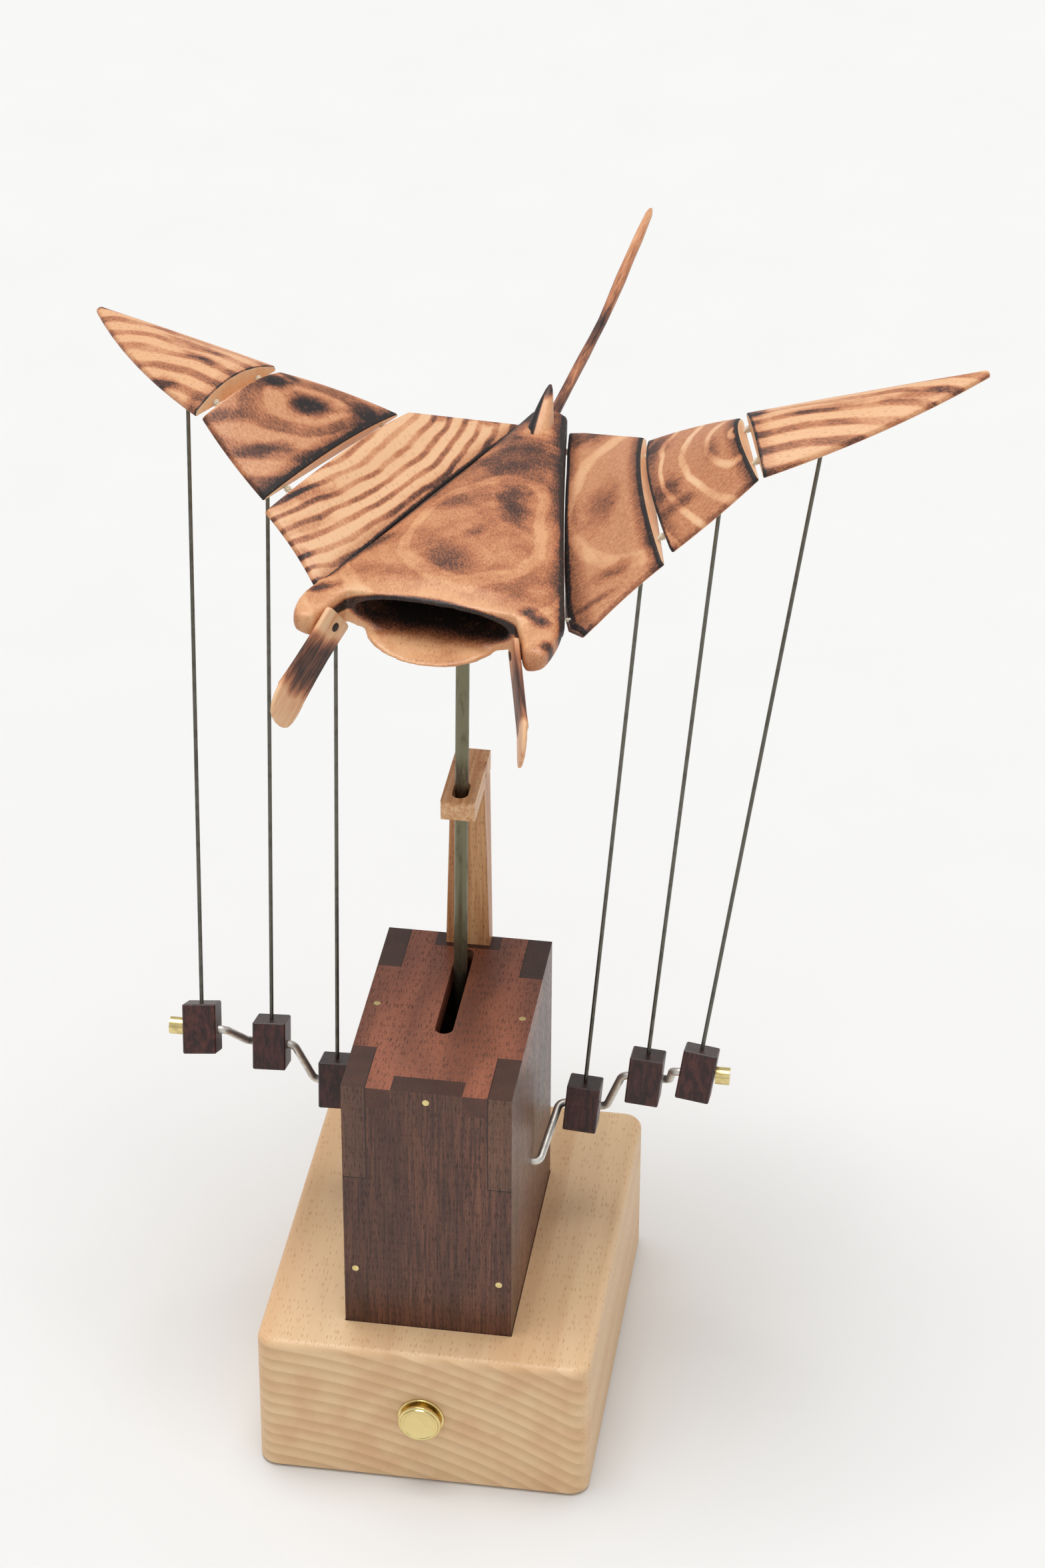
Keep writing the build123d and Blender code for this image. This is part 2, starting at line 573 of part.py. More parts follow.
def push_switch():
    with BuildPart() as collar:
        extrude(switch_disc(0, BEZEL_R), amount=BEZEL_T)
        chamfer(collar.faces().sort_by(Axis.Y)[0].edges(), 0.3)
        extrude(switch_disc(0, BARREL_R), amount=-BARREL_L)
        extrude(switch_disc(BEZEL_T, STEM_R + STEM_GAP), amount=-BARREL_L - 1, mode=Mode.SUBTRACT)
    keep(collar, "switch_collar")
    with BuildPart() as button:
        extrude(switch_disc(BUTTON_PROUD - BUTTON_T, BUTTON_R), amount=BUTTON_T)
        chamfer(button.faces().sort_by(Axis.Y)[0].edges(), 0.7)
        extrude(switch_disc(BUTTON_PROUD - BUTTON_T, STEM_R), amount=-STEM_L)
    keep(button, "switch_button")
    back = -BARREL_L - SWITCH_BODY_L
    with BuildPart() as body:
        extrude(switch_disc(-BARREL_L, BARREL_R), amount=-SWITCH_BODY_L)
        with BuildSketch(Plane.XZ.offset(BASE_D / 2 + back)):
            with Locations((-TERMINAL_X, BUTTON_Z), (TERMINAL_X, BUTTON_Z)):
                Rectangle(TERMINAL_W, TERMINAL_T)
        extrude(amount=-TERMINAL_L)
    keep(body, "switch_body")


def batteries():
    """Two cells side by side in an open tray under the pocket's roof."""
    cell_z = POCKET_TOP - TRAY_T - CELL_R - 0.3
    tray_floor = cell_z - 3.0
    with BuildPart() as tray:
        slab((-TRAY_X, TRAY_X), TRAY_Y, (tray_floor, POCKET_TOP))
        slab((TRAY_T - TRAY_X, TRAY_X - TRAY_T), (TRAY_Y[0] + 1.0, TRAY_Y[1] - 1.0),
             (tray_floor, POCKET_TOP - TRAY_T), Mode.SUBTRACT)
    keep(tray, "battery_tray")
    with BuildPart() as cells:
        for y in CELL_Y:
            with BuildSketch(Plane.YZ.offset(CELL_START_X)):
                with Locations((y, cell_z)):
                    Circle(CELL_R)
            extrude(amount=CELL_L)
            with BuildSketch(Plane.YZ.offset(CELL_START_X + CELL_L)):
                with Locations((y, cell_z)):
                    Circle(1.9)
            extrude(amount=0.8)
    keep(cells, "battery_cells")


def inner_leads():
    """The sleeved pair of leads, from the tray up through the base to the motor."""
    route = ((20.0, 7.0, 25.0), (16.0, 0.0, 24.0), (11.5, -15.0, 21.5), (10.0, -26.0, 23.0),
             (9.8, -29.0, 30.0), (9.8, -30.0, 38.0), (9.8, -31.0, 47.0))
    with BuildPart() as leads:
        with BuildLine() as path:
            FilletPolyline(*route, radius=1.8)
        with BuildSketch(Plane(origin=path.line @ 0, z_dir=path.line % 0)):
            Circle(LEAD_R)
        sweep()
    keep(leads, "inner_leads")


# ---------------------------------------------------------------- crankshaft
def crank_path():
    """Corner points of the bent wire from its left end to its right end."""
    leg = 4.0
    right = [crank_point(7.4, *CENTRE_THROW), crank_point(7.4 + leg, 0, 0),
             crank_point(27.2, 0, 0)]
    edges_x = ((30.6, 44.8), (49.9, 64.2), (66.7, WIRE_END_X))
    for throw, (start, end) in zip(PIN_THROWS, edges_x):
        right.append(crank_point(start, *throw))
        right.append(crank_point(end, *throw))
    left = [(-x, y, z) for x, y, z in reversed(right)]
    return left + right


def crankshaft():
    with BuildPart() as shaft:
        with BuildLine() as path:
            FilletPolyline(*crank_path(), radius=BEND_R)
        with BuildSketch(Plane(origin=path.line @ 0, z_dir=path.line % 0)):
            Circle(WIRE_R)
        sweep()
    keep(shaft, "crankshaft")
    with BuildPart() as collars:
        for side in SIDES.values():
            centre = crank_point(side * WIRE_END_X, *PIN_THROWS[2])
            with BuildSketch(Plane(origin=centre, x_dir=(0, 1, 0), z_dir=(-side, 0, 0))):
                Circle(COLLAR_R)
                Circle(WIRE_R, mode=Mode.SUBTRACT)
            extrude(amount=COLLAR_L)
    keep(collars, "crank_end_collars")


# ---------------------------------------------------------------- rods and blocks
def rod_block(name, plane, rod_r):
    """A hardwood block bored across for the crank pin and from above for the rod."""
    pin = plane.origin
    bore_plane = Plane(origin=(pin.X - BLOCK_W, pin.Y, pin.Z), x_dir=(0, 1, 0), z_dir=(1, 0, 0))
    with BuildPart() as block:
        with BuildSketch(plane.offset(-BLOCK_BELOW)):
            Rectangle(BLOCK_W, BLOCK_D)
        extrude(amount=BLOCK_BELOW + BLOCK_ABOVE)
        chamfer(block.edges(), 0.35)
        with BuildSketch(bore_plane):
            Circle(BLOCK_BORE_R)
        extrude(amount=2 * BLOCK_W, mode=Mode.SUBTRACT)
        with BuildSketch(plane.offset(ROD_FOOT_GAP)):
            Circle(rod_r)
        extrude(amount=BLOCK_ABOVE, mode=Mode.SUBTRACT)
    keep(block, name)


def push_rods():
    for name in SIDES:
        for index in range(3):
            foot, tip = rod_ends(name, index)
            plane = upright_plane(foot, tip)
            label = f"{name}_{index + 1}"
            rod_block(f"rod_block_{label}", plane, PUSH_ROD_R)
            with BuildPart() as rod:
                with BuildSketch(plane.offset(ROD_FOOT_GAP)):
                    Circle(PUSH_ROD_R)
                extrude(amount=(tip - foot).length - ROD_FOOT_GAP)
            keep(rod, f"push_rod_{label}")


def centre_rod():
    foot = Vector(*crank_point(0, *CENTRE_THROW))
    tip = Vector(0, MANTA_Y, MANTA_Z)
    plane = upright_plane(foot, tip)
    rod_block("centre_rod_block", plane, ROD_R)
    with BuildPart() as rod:
        with BuildSketch(plane.offset(ROD_FOOT_GAP)):
            Circle(ROD_R)
        extrude(amount=(tip - foot).length - ROD_FOOT_GAP)
    keep(rod, "centre_rod")
    return plane


# ---------------------------------------------------------------- manta ray
def manta_point(x, y, z):
    return MANTA.from_local_coords(Vector(x, y, z))


def cross_plane(y):
    """A plane across the manta's body: its X is the body's X, its Y is up."""
    return Plane(origin=manta_point(0, y, 0), x_dir=MANTA.x_dir, z_dir=MANTA.y_dir * -1)


def body_section(y, left, right, crown, belly):
    """One cross-section of the body: domed above, a shallow keel below, flat sides."""
    middle = (left + right) / 2
    side_h = PANEL_T / 2
    with BuildSketch(cross_plane(y)) as section:
        with BuildLine():
            ThreePointArc((left, side_h), (middle, crown), (right, side_h))
            Line((right, side_h), (right, -side_h))
            ThreePointArc((right, -side_h), (middle, -belly), (left, -side_h))
            Line((left, -side_h), (left, side_h))
        make_face()
    return section.sketch


def head_cut(z, height, with_lip):
    """Cut away the front of the head between its two lobes, leaving a lower lip."""
    reach = tan(radians(FIN_SPLAY))
    front_y = -60.0
    fin_x = FIN_PIN[0] + (FIN_T + FIN_GAP) / cos(radians(FIN_SPLAY))
    back_x = fin_x - (MOUTH_BACK - FIN_PIN[1]) * reach
    front_x = back_x + (MOUTH_BACK - front_y) * reach
    cut_plane = Plane(origin=manta_point(SKEW_X, 0, z), x_dir=MANTA.x_dir, z_dir=MANTA.z_dir)
    with BuildSketch(cut_plane) as outline:
        with BuildLine():
            Line((-front_x, front_y), (-back_x, MOUTH_BACK))
            ThreePointArc((-back_x, MOUTH_BACK), (0, MOUTH_BACK - MOUTH_BOW), (back_x, MOUTH_BACK))
            Line((back_x, MOUTH_BACK), (front_x, front_y))
            Line((front_x, front_y), (-front_x, front_y))
        make_face()
        if with_lip:
            with Locations((0, LIP_CENTRE)):
                Ellipse(LIP_W / 2, LIP_REACH, mode=Mode.SUBTRACT)
    extrude(outline.sketch, amount=height, mode=Mode.SUBTRACT)


def mouth_cavity():
    """The hollow of the mouth, from the scooped lower lip narrowing to the throat."""
    rings = []
    for y, width, height, z in MOUTH_RINGS:
        plane = Plane(origin=manta_point(SKEW_X, y, z), x_dir=MANTA.x_dir,
                      z_dir=MANTA.y_dir * -1)
        with BuildSketch(plane) as ring:
            Ellipse(width, height)
        rings.append(ring.sketch)
    loft(rings, mode=Mode.SUBTRACT)


def fin_planes(side):
    """The plane of one head fin, with its origin on the pin and its X along the fin."""
    origin = manta_point(SKEW_X + side * FIN_PIN[0], FIN_PIN[1], FIN_PIN[2])
    forward = MANTA.x_dir * (side * sin(radians(FIN_SPLAY))) - MANTA.y_dir * cos(radians(FIN_SPLAY))
    along = forward * cos(radians(FIN_DROOP)) - MANTA.z_dir * sin(radians(FIN_DROOP))
    inward = MANTA.x_dir * (-side * cos(radians(FIN_SPLAY))) - MANTA.y_dir * sin(radians(FIN_SPLAY))
    return Plane(origin=origin, x_dir=along, z_dir=inward)


# distance along, left edge, right edge, crown height, belly depth
BODY_SECTIONS = ((93.0, -5.2, 5.6, 4.6, 4.6), (40.0, -19.2, 18.8, 7.0, 7.0),
                 (-14.0, -36.2, 33.6, 8.0, 8.6))
HEAD_SECTIONS = ((-14.0, -36.2, 33.6, 8.0, 8.6), (-23.0, -40.2, 34.6, 5.8, 9.2),
                 (-36.0, -39.0, 33.4, 3.8, 9.4))


def manta_body():
    with BuildPart() as body:
        trunk = [body_section(*numbers) for numbers in BODY_SECTIONS]
        loft(trunk)
        head = [body_section(*numbers) for numbers in HEAD_SECTIONS]
        loft(head)
        head_cut(LIP_TOP, 20.0, False)
        head_cut(LIP_TOP - 7.6, 7.8, True)
        mouth_cavity()
        with BuildSketch(centre_rod_plane.offset(centre_rod_reach - 12.0)):
            Circle(ROD_R)
        extrude(amount=12.0, mode=Mode.SUBTRACT)
        for side in SIDES.values():
            with BuildSketch(fin_planes(side)):
                Circle(FIN_PIN_R)
            extrude(amount=-FIN_PIN_L, mode=Mode.SUBTRACT)
            tie_holes(MANTA, side, INNER, -1)
        with BuildSketch(cross_plane(80.0)):
            Circle(TAIL_R + FIT)
        extrude(amount=-13.0, mode=Mode.SUBTRACT)
        dorsal_slot()
    keep(body, "manta_body")


def dorsal_slot():
    """A shallow slot in the back that the dorsal fin stands in."""
    floor = Plane(origin=manta_point(0, 0, DORSAL_FLOOR), x_dir=MANTA.x_dir, z_dir=MANTA.z_dir)
    with BuildSketch(floor) as slot:
        with Locations((0, (DORSAL_FRONT + DORSAL_BACK) / 2)):
            Rectangle(DORSAL_T, DORSAL_BACK - DORSAL_FRONT)
    extrude(slot.sketch, amount=10.0, mode=Mode.SUBTRACT)


def dorsal_fin():
    side_plane = Plane(origin=manta_point(-DORSAL_T / 2, 0, 0), x_dir=MANTA.y_dir,
                       z_dir=MANTA.x_dir)
    tip = (96.4, 14.6)
    with BuildPart() as fin:
        with BuildSketch(side_plane):
            with BuildLine():
                Line((DORSAL_BACK, DORSAL_FLOOR), (DORSAL_FRONT, DORSAL_FLOOR))
                Line((DORSAL_FRONT, DORSAL_FLOOR), (DORSAL_FRONT, 5.0))
                ThreePointArc((DORSAL_FRONT, 5.0), (84.0, 9.4), tip)
                ThreePointArc(tip, (90.4, 9.6), (DORSAL_BACK, 5.0))
                Line((DORSAL_BACK, 5.0), (DORSAL_BACK, DORSAL_FLOOR))
            make_face()
        extrude(amount=DORSAL_T)
    keep(fin, "dorsal_fin")


def tail():
    """A long thin tail, slightly kinked, let into the body's back end."""
    stations = ((80.2, 0.0, TAIL_R), (94.0, 0.0, TAIL_R), (124.0, 1.0, TAIL_R),
                (156.0, 1.9, 1.4), (190.0, 7.2, 1.3), (216.0, 11.0, 0.9))
    with BuildPart() as whip:
        for y, z, radius in stations:
            section = Plane(origin=manta_point(0, y, z), x_dir=MANTA.x_dir, z_dir=MANTA.y_dir * -1)
            with BuildSketch(section):
                Circle(radius)
        loft(ruled=True)
    keep(whip, "tail")


def head_fins():
    with BuildPart() as pins:
        for side in SIDES.values():
            with BuildSketch(fin_planes(side).offset(-FIN_PIN_L)):
                Circle(FIN_PIN_R)
            extrude(amount=FIN_PIN_L - FIN_PIN_SUNK)
    keep(pins, "head_fin_pins")
    for name, side in SIDES.items():
        plane = fin_planes(side).offset(-FIN_T)
        up = 1 if plane.y_dir.Z > 0 else -1
        with BuildPart() as fin:
            with BuildSketch(plane):
                with BuildLine():
                    Line((-3.4, up * FIN_W * 0.48), (-3.4, -up * FIN_W * 0.40))
                    Line((-3.4, -up * FIN_W * 0.40), (FIN_L * 0.72, -up * FIN_W * 0.52))
                    ThreePointArc((FIN_L * 0.72, -up * FIN_W * 0.52), (FIN_L - 3.4, 0),
                                  (FIN_L * 0.72, up * FIN_W * 0.52))
                    Line((FIN_L * 0.72, up * FIN_W * 0.52), (-3.4, up * FIN_W * 0.48))
                make_face()
            extrude(amount=FIN_T)
            with BuildSketch(plane):
                Circle(FIN_PIN_R + 0.08)
            extrude(amount=FIN_T, mode=Mode.SUBTRACT)
        keep(fin, f"{name}_head_fin")


def chord_plane(plane, front, back):
    """A plane that stands on a wing panel's chord, from its front point to its back point."""
    origin = plane.from_local_coords(Vector(*front, -PANEL_T / 2))
    along = plane.from_local_coords(Vector(*back, -PANEL_T / 2)) - origin
    return Plane(origin=origin, x_dir=along, z_dir=along.cross(plane.z_dir))


def chord_section(plane, front, back, crown, edge):
    """One flat-bottomed, arched cross-section of a wing panel."""
    length = hypot(back[0] - front[0], back[1] - front[1])
    with BuildSketch(chord_plane(plane, front, back)) as section:
        with BuildLine():
            Line((0, 0), (length, 0))
            Line((length, 0), (length, edge))
            ThreePointArc((length, edge), (length / 2, crown), (0, edge))
            Line((0, edge), (0, 0))
        make_face()
    return section.sketch


def between(start, end, share, outwards):
    """A point part of the way along an edge, moved square to it by a distance."""
    run = (end[0] - start[0], end[1] - start[1])
    length = hypot(*run)
    return (start[0] + share * run[0] + outwards * run[1] / length,
            start[1] + share * run[1] - outwards * run[0] / length)


def tie_spots(panel):
    """Where the two cord ties cross a hinge line, as shares of its length from the front."""
    length = hypot(panel[1][0] - panel[0][0], panel[1][1] - panel[0][1])
    share = min(0.24, 9.0 / length)
    return (share, 1 - share)


def tie_plane(plane, side, panel, share, reach):
    """A plane square to a hinge line at one tie, its Z pointing outboard."""
    front = Vector(*on_side(side, panel[0]), 0)
    back = Vector(*on_side(side, panel[1]), 0)
    spot = front + (back - front) * share
    line = (back - front).normalized()
    outboard = line.cross(Vector(0, 0, 1)) * side
    spot = spot + outboard * reach
    origin = plane.from_local_coords(spot)
    z_dir = plane.from_local_coords(spot + outboard) - origin
    return Plane(origin=origin, x_dir=plane.z_dir, z_dir=z_dir)


def tie_holes(plane, side, panel, towards):
    """Drill the holes that a hinge's ties run in, on one side of its gap."""
    for share in tie_spots(panel):
        radius = TIE_R + FIT if towards < 0 else TIE_HOLE_R
        with BuildSketch(tie_plane(plane, side, panel, share, -towards * TIE_HOLE_START)) as hole:
            Circle(radius)
        extrude(hole.sketch, amount=towards * TIE_HOLE_L, mode=Mode.SUBTRACT)


def wing_panel(name, side, index, sections, rod_slot, outer_panel):
    """One wing panel, lofted between chords, with its rod socket and tie holes."""
    plane = WINGS[name][index]
    panel = (INNER, MIDDLE, OUTER)[index]
    with BuildPart() as wing:
        chords = [chord_section(plane, on_side(side, front), on_side(side, back), crown, edge)
                  for front, back, crown, edge in sections]
        loft(chords, ruled=index == 0)
        foot, tip = (plane.to_local_coords(end) for end in rod_ends(name, index))
        entry = tip + (foot - tip) * (PUSH_ROD_DEPTH / (tip.Z - foot.Z))
        with BuildSketch(plane.offset(-PANEL_T / 2)):
            with Locations(((tip.X + entry.X) / 2, (tip.Y + entry.Y) / 2)):
                Rectangle(*rod_slot)
        extrude(amount=PUSH_ROD_DEPTH + 0.7, mode=Mode.SUBTRACT)
        tie_holes(plane, side, panel, 1)
        if outer_panel is not None:
            tie_holes(plane, side, outer_panel, -1)
    keep(wing, f"{name}_wing_{('inner', 'middle', 'outer')[index]}")


def wings():
    middle_bow = (between(MIDDLE[0], MIDDLE[2], 0.5, 0.8), between(MIDDLE[1], MIDDLE[3], 0.5, 1.2))
    outer_bow = (between(OUTER[0], OUTER[2], 0.55, 3.0), between(OUTER[1], OUTER[3], 0.55, 0.4))
    sections = (
        ((*INNER_RIM, 6.2, 1.8), (INNER[2], INNER[3], 6.6, 1.6)),
        ((MIDDLE[0], MIDDLE[1], 6.6, 1.6), (*middle_bow, 6.5, 1.5), (MIDDLE[2], MIDDLE[3], 6.2, 1.6)),
        ((OUTER[0], OUTER[1], 6.2, 1.6), (*outer_bow, 5.0, 1.4), (OUTER[2], OUTER[3], 1.9, 1.3)),
    )
    for name, side in SIDES.items():
        for index, outboard in enumerate((MIDDLE, OUTER, None)):
            wing_panel(name, side, index, sections[index], HOLE_SLOTS[index], outboard)


def hinge_ties():
    """Short cord ties, glued into the inboard panel and loose in the outboard one."""
    def tie_pair(plane, side, panel):
        for share in tie_spots(panel):
            with BuildSketch(tie_plane(plane, side, panel, share, -TIE_IN)) as end:
                Circle(TIE_R)
            extrude(end.sketch, amount=TIE_L)

    with BuildPart() as ties:
        for side in SIDES.values():
            tie_pair(MANTA, side, INNER)
    keep(ties, "body_hinge_ties")
    for name, side in SIDES.items():
        for index, outboard in enumerate((MIDDLE, OUTER)):
            with BuildPart() as ties:
                tie_pair(WINGS[name][index], side, outboard)
            keep(ties, f"{name}_{('middle', 'outer')[index]}_hinge_ties")


# ---------------------------------------------------------------- build everything
base_block()
base_cover()
end_board("box_front", (BOX_FRONT, INNER_FRONT), FRONT_TAB_W)
end_board("box_back", (INNER_BACK, BOX_BACK), BACK_TAB_W)
for side_name, side_sign in SIDES.items():
    side_boards(side_name, side_sign)
box_top()
box_dowels()
guide_post()
guide_arm()
motor()
gears()
push_switch()
batteries()
inner_leads()
crankshaft()
push_rods()
centre_rod_plane = centre_rod()
centre_rod_reach = (Vector(0, MANTA_Y, MANTA_Z) - centre_rod_plane.origin).length
manta_body()
dorsal_fin()
tail()
head_fins()
wings()
hinge_ties()
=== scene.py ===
import math

import bmesh
import bpy
import numpy as np
from bpy.props import FloatProperty, FloatVectorProperty, PointerProperty
from mathutils import Matrix, Vector


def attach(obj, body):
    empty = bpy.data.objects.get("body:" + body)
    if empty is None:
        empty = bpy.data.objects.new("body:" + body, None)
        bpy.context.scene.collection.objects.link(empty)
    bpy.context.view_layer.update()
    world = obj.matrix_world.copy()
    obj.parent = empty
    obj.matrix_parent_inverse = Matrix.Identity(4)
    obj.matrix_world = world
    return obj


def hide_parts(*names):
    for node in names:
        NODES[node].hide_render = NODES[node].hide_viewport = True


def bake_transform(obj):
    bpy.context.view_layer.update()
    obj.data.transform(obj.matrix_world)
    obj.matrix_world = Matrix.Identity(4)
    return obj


bl_info = {
    "name": "Manta Ray Automaton",
    "version": (1, 0, 0),
    "blender": (4, 5, 0),
    "location": "3D View > Sidebar > Automaton",
    "description": "Finishes and fine shapes of a carved manta ray automaton",
    "category": "Object",
}

MM = 0.001
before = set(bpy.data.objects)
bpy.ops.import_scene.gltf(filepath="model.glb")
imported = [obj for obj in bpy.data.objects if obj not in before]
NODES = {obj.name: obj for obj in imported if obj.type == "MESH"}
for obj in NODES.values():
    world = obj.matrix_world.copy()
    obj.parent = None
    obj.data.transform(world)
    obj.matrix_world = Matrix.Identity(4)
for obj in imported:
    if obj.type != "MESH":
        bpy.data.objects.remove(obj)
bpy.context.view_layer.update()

# ---------------------------------------------------------------- the manta's planes
MANTA_ORIGIN = Vector((0.0, 18.8, 265.0))
MANTA_YAW, MANTA_PITCH, MANTA_ROLL = -6.98, 1.49, 1.15
SKEW_X = -3.0
PANEL_FLOOR = -3.0            # underside of a wing panel in its own plane
PANELS = {
    "inner": {"inner": ((39.7, -14.3), (6.2, 91.9)), "outer": ((61.6, 2.9), (39.0, 70.3)),
              "rim": ((37.8, -14.6), (6.2, 91.9)),
              "bow": (-1.2, 0.0), "crown": (6.2, 6.6), "edge": (1.8, 1.6)},
    "middle": {"inner": ((63.5, 6.9), (41.3, 67.2)), "outer": ((90.5, 23.3), (77.9, 56.3)),
               "bow": (0.8, -1.2), "crown": (6.6, 6.2), "edge": (1.6, 1.6)},
    "outer": {"inner": ((93.7, 23.0), (80.4, 57.5)), "outer": ((146.0, 84.2), (144.4, 86.0)),
              "bow": (3.0, -0.4), "crown": (6.2, 1.9), "edge": (1.6, 1.3)},
}
# How far the right inner panel's rim stands inboard of the line, by share of its length
# from the front; and how far an inner panel's foot leans to the body, by height
SEAM_SHARES = (0.0, 0.04, 0.12, 0.25, 0.5, 0.75, 1.0)
SEAM_REACH = (-0.4, 3.6, 4.1, 2.5, 0.9, 0.1, 0.6)
FOOT_LEAN = {"left": 0.25, "right": 0.80}
LEAN_SHARE = 0.16                      # share of the panel's width over which this fades
# Arris of a panel's end, as (run, drop) in shares of the rounding
ARRIS = ((0.0, 1.0), (0.12, 0.55), (0.35, 0.25), (0.7, 0.06), (1.0, 0.0))
PANEL_STEPS = 26
FLAPS = {"left": (27.75, 0.72, -32.24), "right": (38.40, 0.17, -30.34)}
SIDES = {"left": -1, "right": 1}
# The body's black seams: back end, front end, width of the black line, front limit
BODY_EDGES = (((-5.0, 93.0), (-36.0, -14.0), 1.3, -18.0), ((5.6, 93.0), (33.8, -14.0), 2.2, -34.0))
# Mouth: where each ring lies, half width, half height and height of its middle
MOUTH_RINGS = ((-40.0, 25.5, 7.2, -1.6), (-23.0, 22.8, 5.9, -1.4), (-5.0, 13.0, 2.6, -0.2))
MOUTH_BACK = -3.5
LOBE_FRONT, LOBE_OUT, LOBE_PASSES = -17.0, 25.0, 36
# Head fins: how far they point outwards and down, the pin from the head's centre, and the
# paddle as (along, half width, share of the thickness, bend inwards)
FIN_SPLAY, FIN_DROOP = 24.0, 38.0
FIN_PIN = (25.4, -30.4, -3.0)
FIN_T = 2.4
FIN_PROFILE = ((-3.4, 5.2, 0.7, 0.0), (-3.1, 6.2, 0.95, 0.0), (-2.4, 6.5, 1.0, 0.0),
               (3.0, 6.3, 1.0, 0.0), (8.0, 6.3, 0.98, 0.0), (14.0, 6.6, 0.95, 0.05),
               (19.0, 7.0, 0.92, 0.1), (22.4, 7.3, 1.0, 0.1), (23.2, 7.3, 0.86, 0.4),
               (26.0, 7.2, 0.80, 0.7), (28.6, 6.6, 0.70, 1.1), (30.4, 5.4, 0.60, 1.4),
               (31.4, 3.8, 0.48, 1.6), (31.9, 1.7, 0.30, 1.7))
PIN_CAP = ((0.02, 1.35), (0.25, 1.2), (0.33, 0.7))             # proud of the fin, radius
# Burn along the head fins and the tail, as (millimetres from the start, burn)
FIN_BURNS = {
    "left": ((0.0, 0.12), (6.0, 0.14), (8.5, 0.55), (12.0, 0.78), (19.0, 0.80),
             (23.5, 0.62), (27.0, 0.18), (36.0, 0.06)),
    "right": ((0.0, 0.20), (5.0, 0.40), (12.0, 0.66), (20.0, 0.72), (24.5, 0.60),
              (26.5, 0.12), (36.0, 0.22)),
}
TAIL_BURNS = ((0.0, 0.84), (14.0, 0.70), (30.0, 0.58), (50.0, 0.66), (64.0, 0.86), (74.0, 0.54),
              (96.0, 0.40), (129.0, 0.32))
# Dorsal fin as (back, up, half chord, half thickness); tail as (back, up, radius)
DORSAL_PROFILE = ((81.8, 2.0, 7.2, 3.9), (82.6, 4.4, 6.6, 3.6), (84.2, 6.2, 5.4, 3.1),
                  (86.4, 8.2, 4.2, 2.5), (89.0, 10.2, 2.9, 1.8), (91.4, 11.9, 1.7, 1.1),
                  (92.8, 12.8, 0.7, 0.5))
DORSAL_FOOT = (0.5, 77.0, 0.0)
TAIL_LINE = ((88.0, 0.0, 1.62), (94.0, 0.0, 1.6), (104.0, 0.4, 1.65), (114.0, 0.7, 1.5),
             (124.0, 1.0, 1.62), (134.0, 1.2, 1.5), (145.0, 1.5, 1.45), (156.0, 1.9, 1.35),
             (166.0, 3.3, 1.62), (178.0, 5.2, 1.66), (190.0, 7.2, 1.6), (200.0, 8.6, 1.5),
             (208.0, 9.8, 1.36), (213.5, 10.6, 1.1), (215.6, 10.95, 0.8), (216.6, 11.1, 0.4))
TAIL_FACETS = (0.95, 1.04)             # every other ring of the tail is narrower
# Cord ties: where each starts, bends and ends beside the hinge line, how deep its two
# halves lie, and its strands
TIE_START, TIE_BEND, TIE_END = -5.2, -1.0, 3.0
TIE_DEPTHS, BODY_TIE_DEPTHS = (1.3, 1.3), (3.4, 2.0)
BLEND_START, BLEND_END = -2.2, 0.3     # where the cord was to stop following each panel; hinge_ties works out these points and leaves them unused
TIE_STEPS, TIE_SHARE, TIE_INSET = 12, 0.24, 9.0
STRANDS, STRAND_R, STRAND_SIDES, STRAND_TWIST = 3, 0.34, 8, 0.16
KNOT_SWELL, KNOT_REACH = 0.8, 2.2      # the knot's extra size, and its length in path steps
# The box's boards: half the clear width and depth inside, its middle, and where the side
# boards' fingers start
BOX_INNER_X, BOX_INNER_Y, BOX_MIDDLE, FINGER_Z = 17.9, 33.4, -10.4, 102.0
BOX_FINGER_Y = 20.4           # half the box's depth without its corner fingers
# The stage, in metres and degrees: the floor's half size and how far it lies below the
# base, the backdrop's brightness, and the lamps as (where from, spread, share of the key)
FLOOR_REACH, FLOOR_GAP = 40.0, 0.0002
BACKDROP = 0.93
LAMPS = {"Key": ((-0.10, 0.10, 1.40), 36.0, 1.0), "Front": ((0.5, -1.5, 1.1), 50.0, 0.10)}
# The camera, found from the corners of the base and the box
CAMERA_PLACE = (0.172957, -1.038922, 0.886724)
CAMERA_YAW, CAMERA_PITCH, CAMERA_ROLL = -8.374, 32.804, 0.293
CAMERA_LENS, CAMERA_SENSOR = 100.30, 36.0
# The push button: its axis at the base's front face, and the outlines of its two turned
# parts as (radius, how far in front of the face)
BUTTON_SEAT = (0.0, -64.3, 24.9)
TURNED_SIDES = 96
BUTTON_TURNED = ((0.02, 3.74), (2.5, 3.75), (4.80, 3.76), (4.92, 3.82), (5.05, 3.97), (5.2, 4.02),
                 (5.45, 4.02), (5.6, 3.96), (5.7, 3.8), (5.74, 3.5), (5.8, 3.42), (6.2, 3.38),
                 (6.34, 3.3), (6.4, 3.15), (6.4, 2.5), (6.33, 2.36), (6.2, 2.30), (3.1, 2.30),
                 (3.0, 2.2), (3.0, -13.6), (2.9, -13.7), (0.02, -13.7))
COLLAR_TURNED = ((3.08, 0.6), (3.2, 0.7), (6.4, 0.7), (6.75, 0.68), (6.93, 0.58), (7.0, 0.4),
                 (7.0, 0.0), (5.1, 0.0), (5.0, -0.1), (5.0, -16.9), (4.9, -17.0), (3.2, -17.0),
                 (3.08, -16.9), (3.08, 0.6))


def turn(degrees, axis):
    """A turn about a main axis."""
    return Matrix.Rotation(math.radians(degrees), 4, axis)


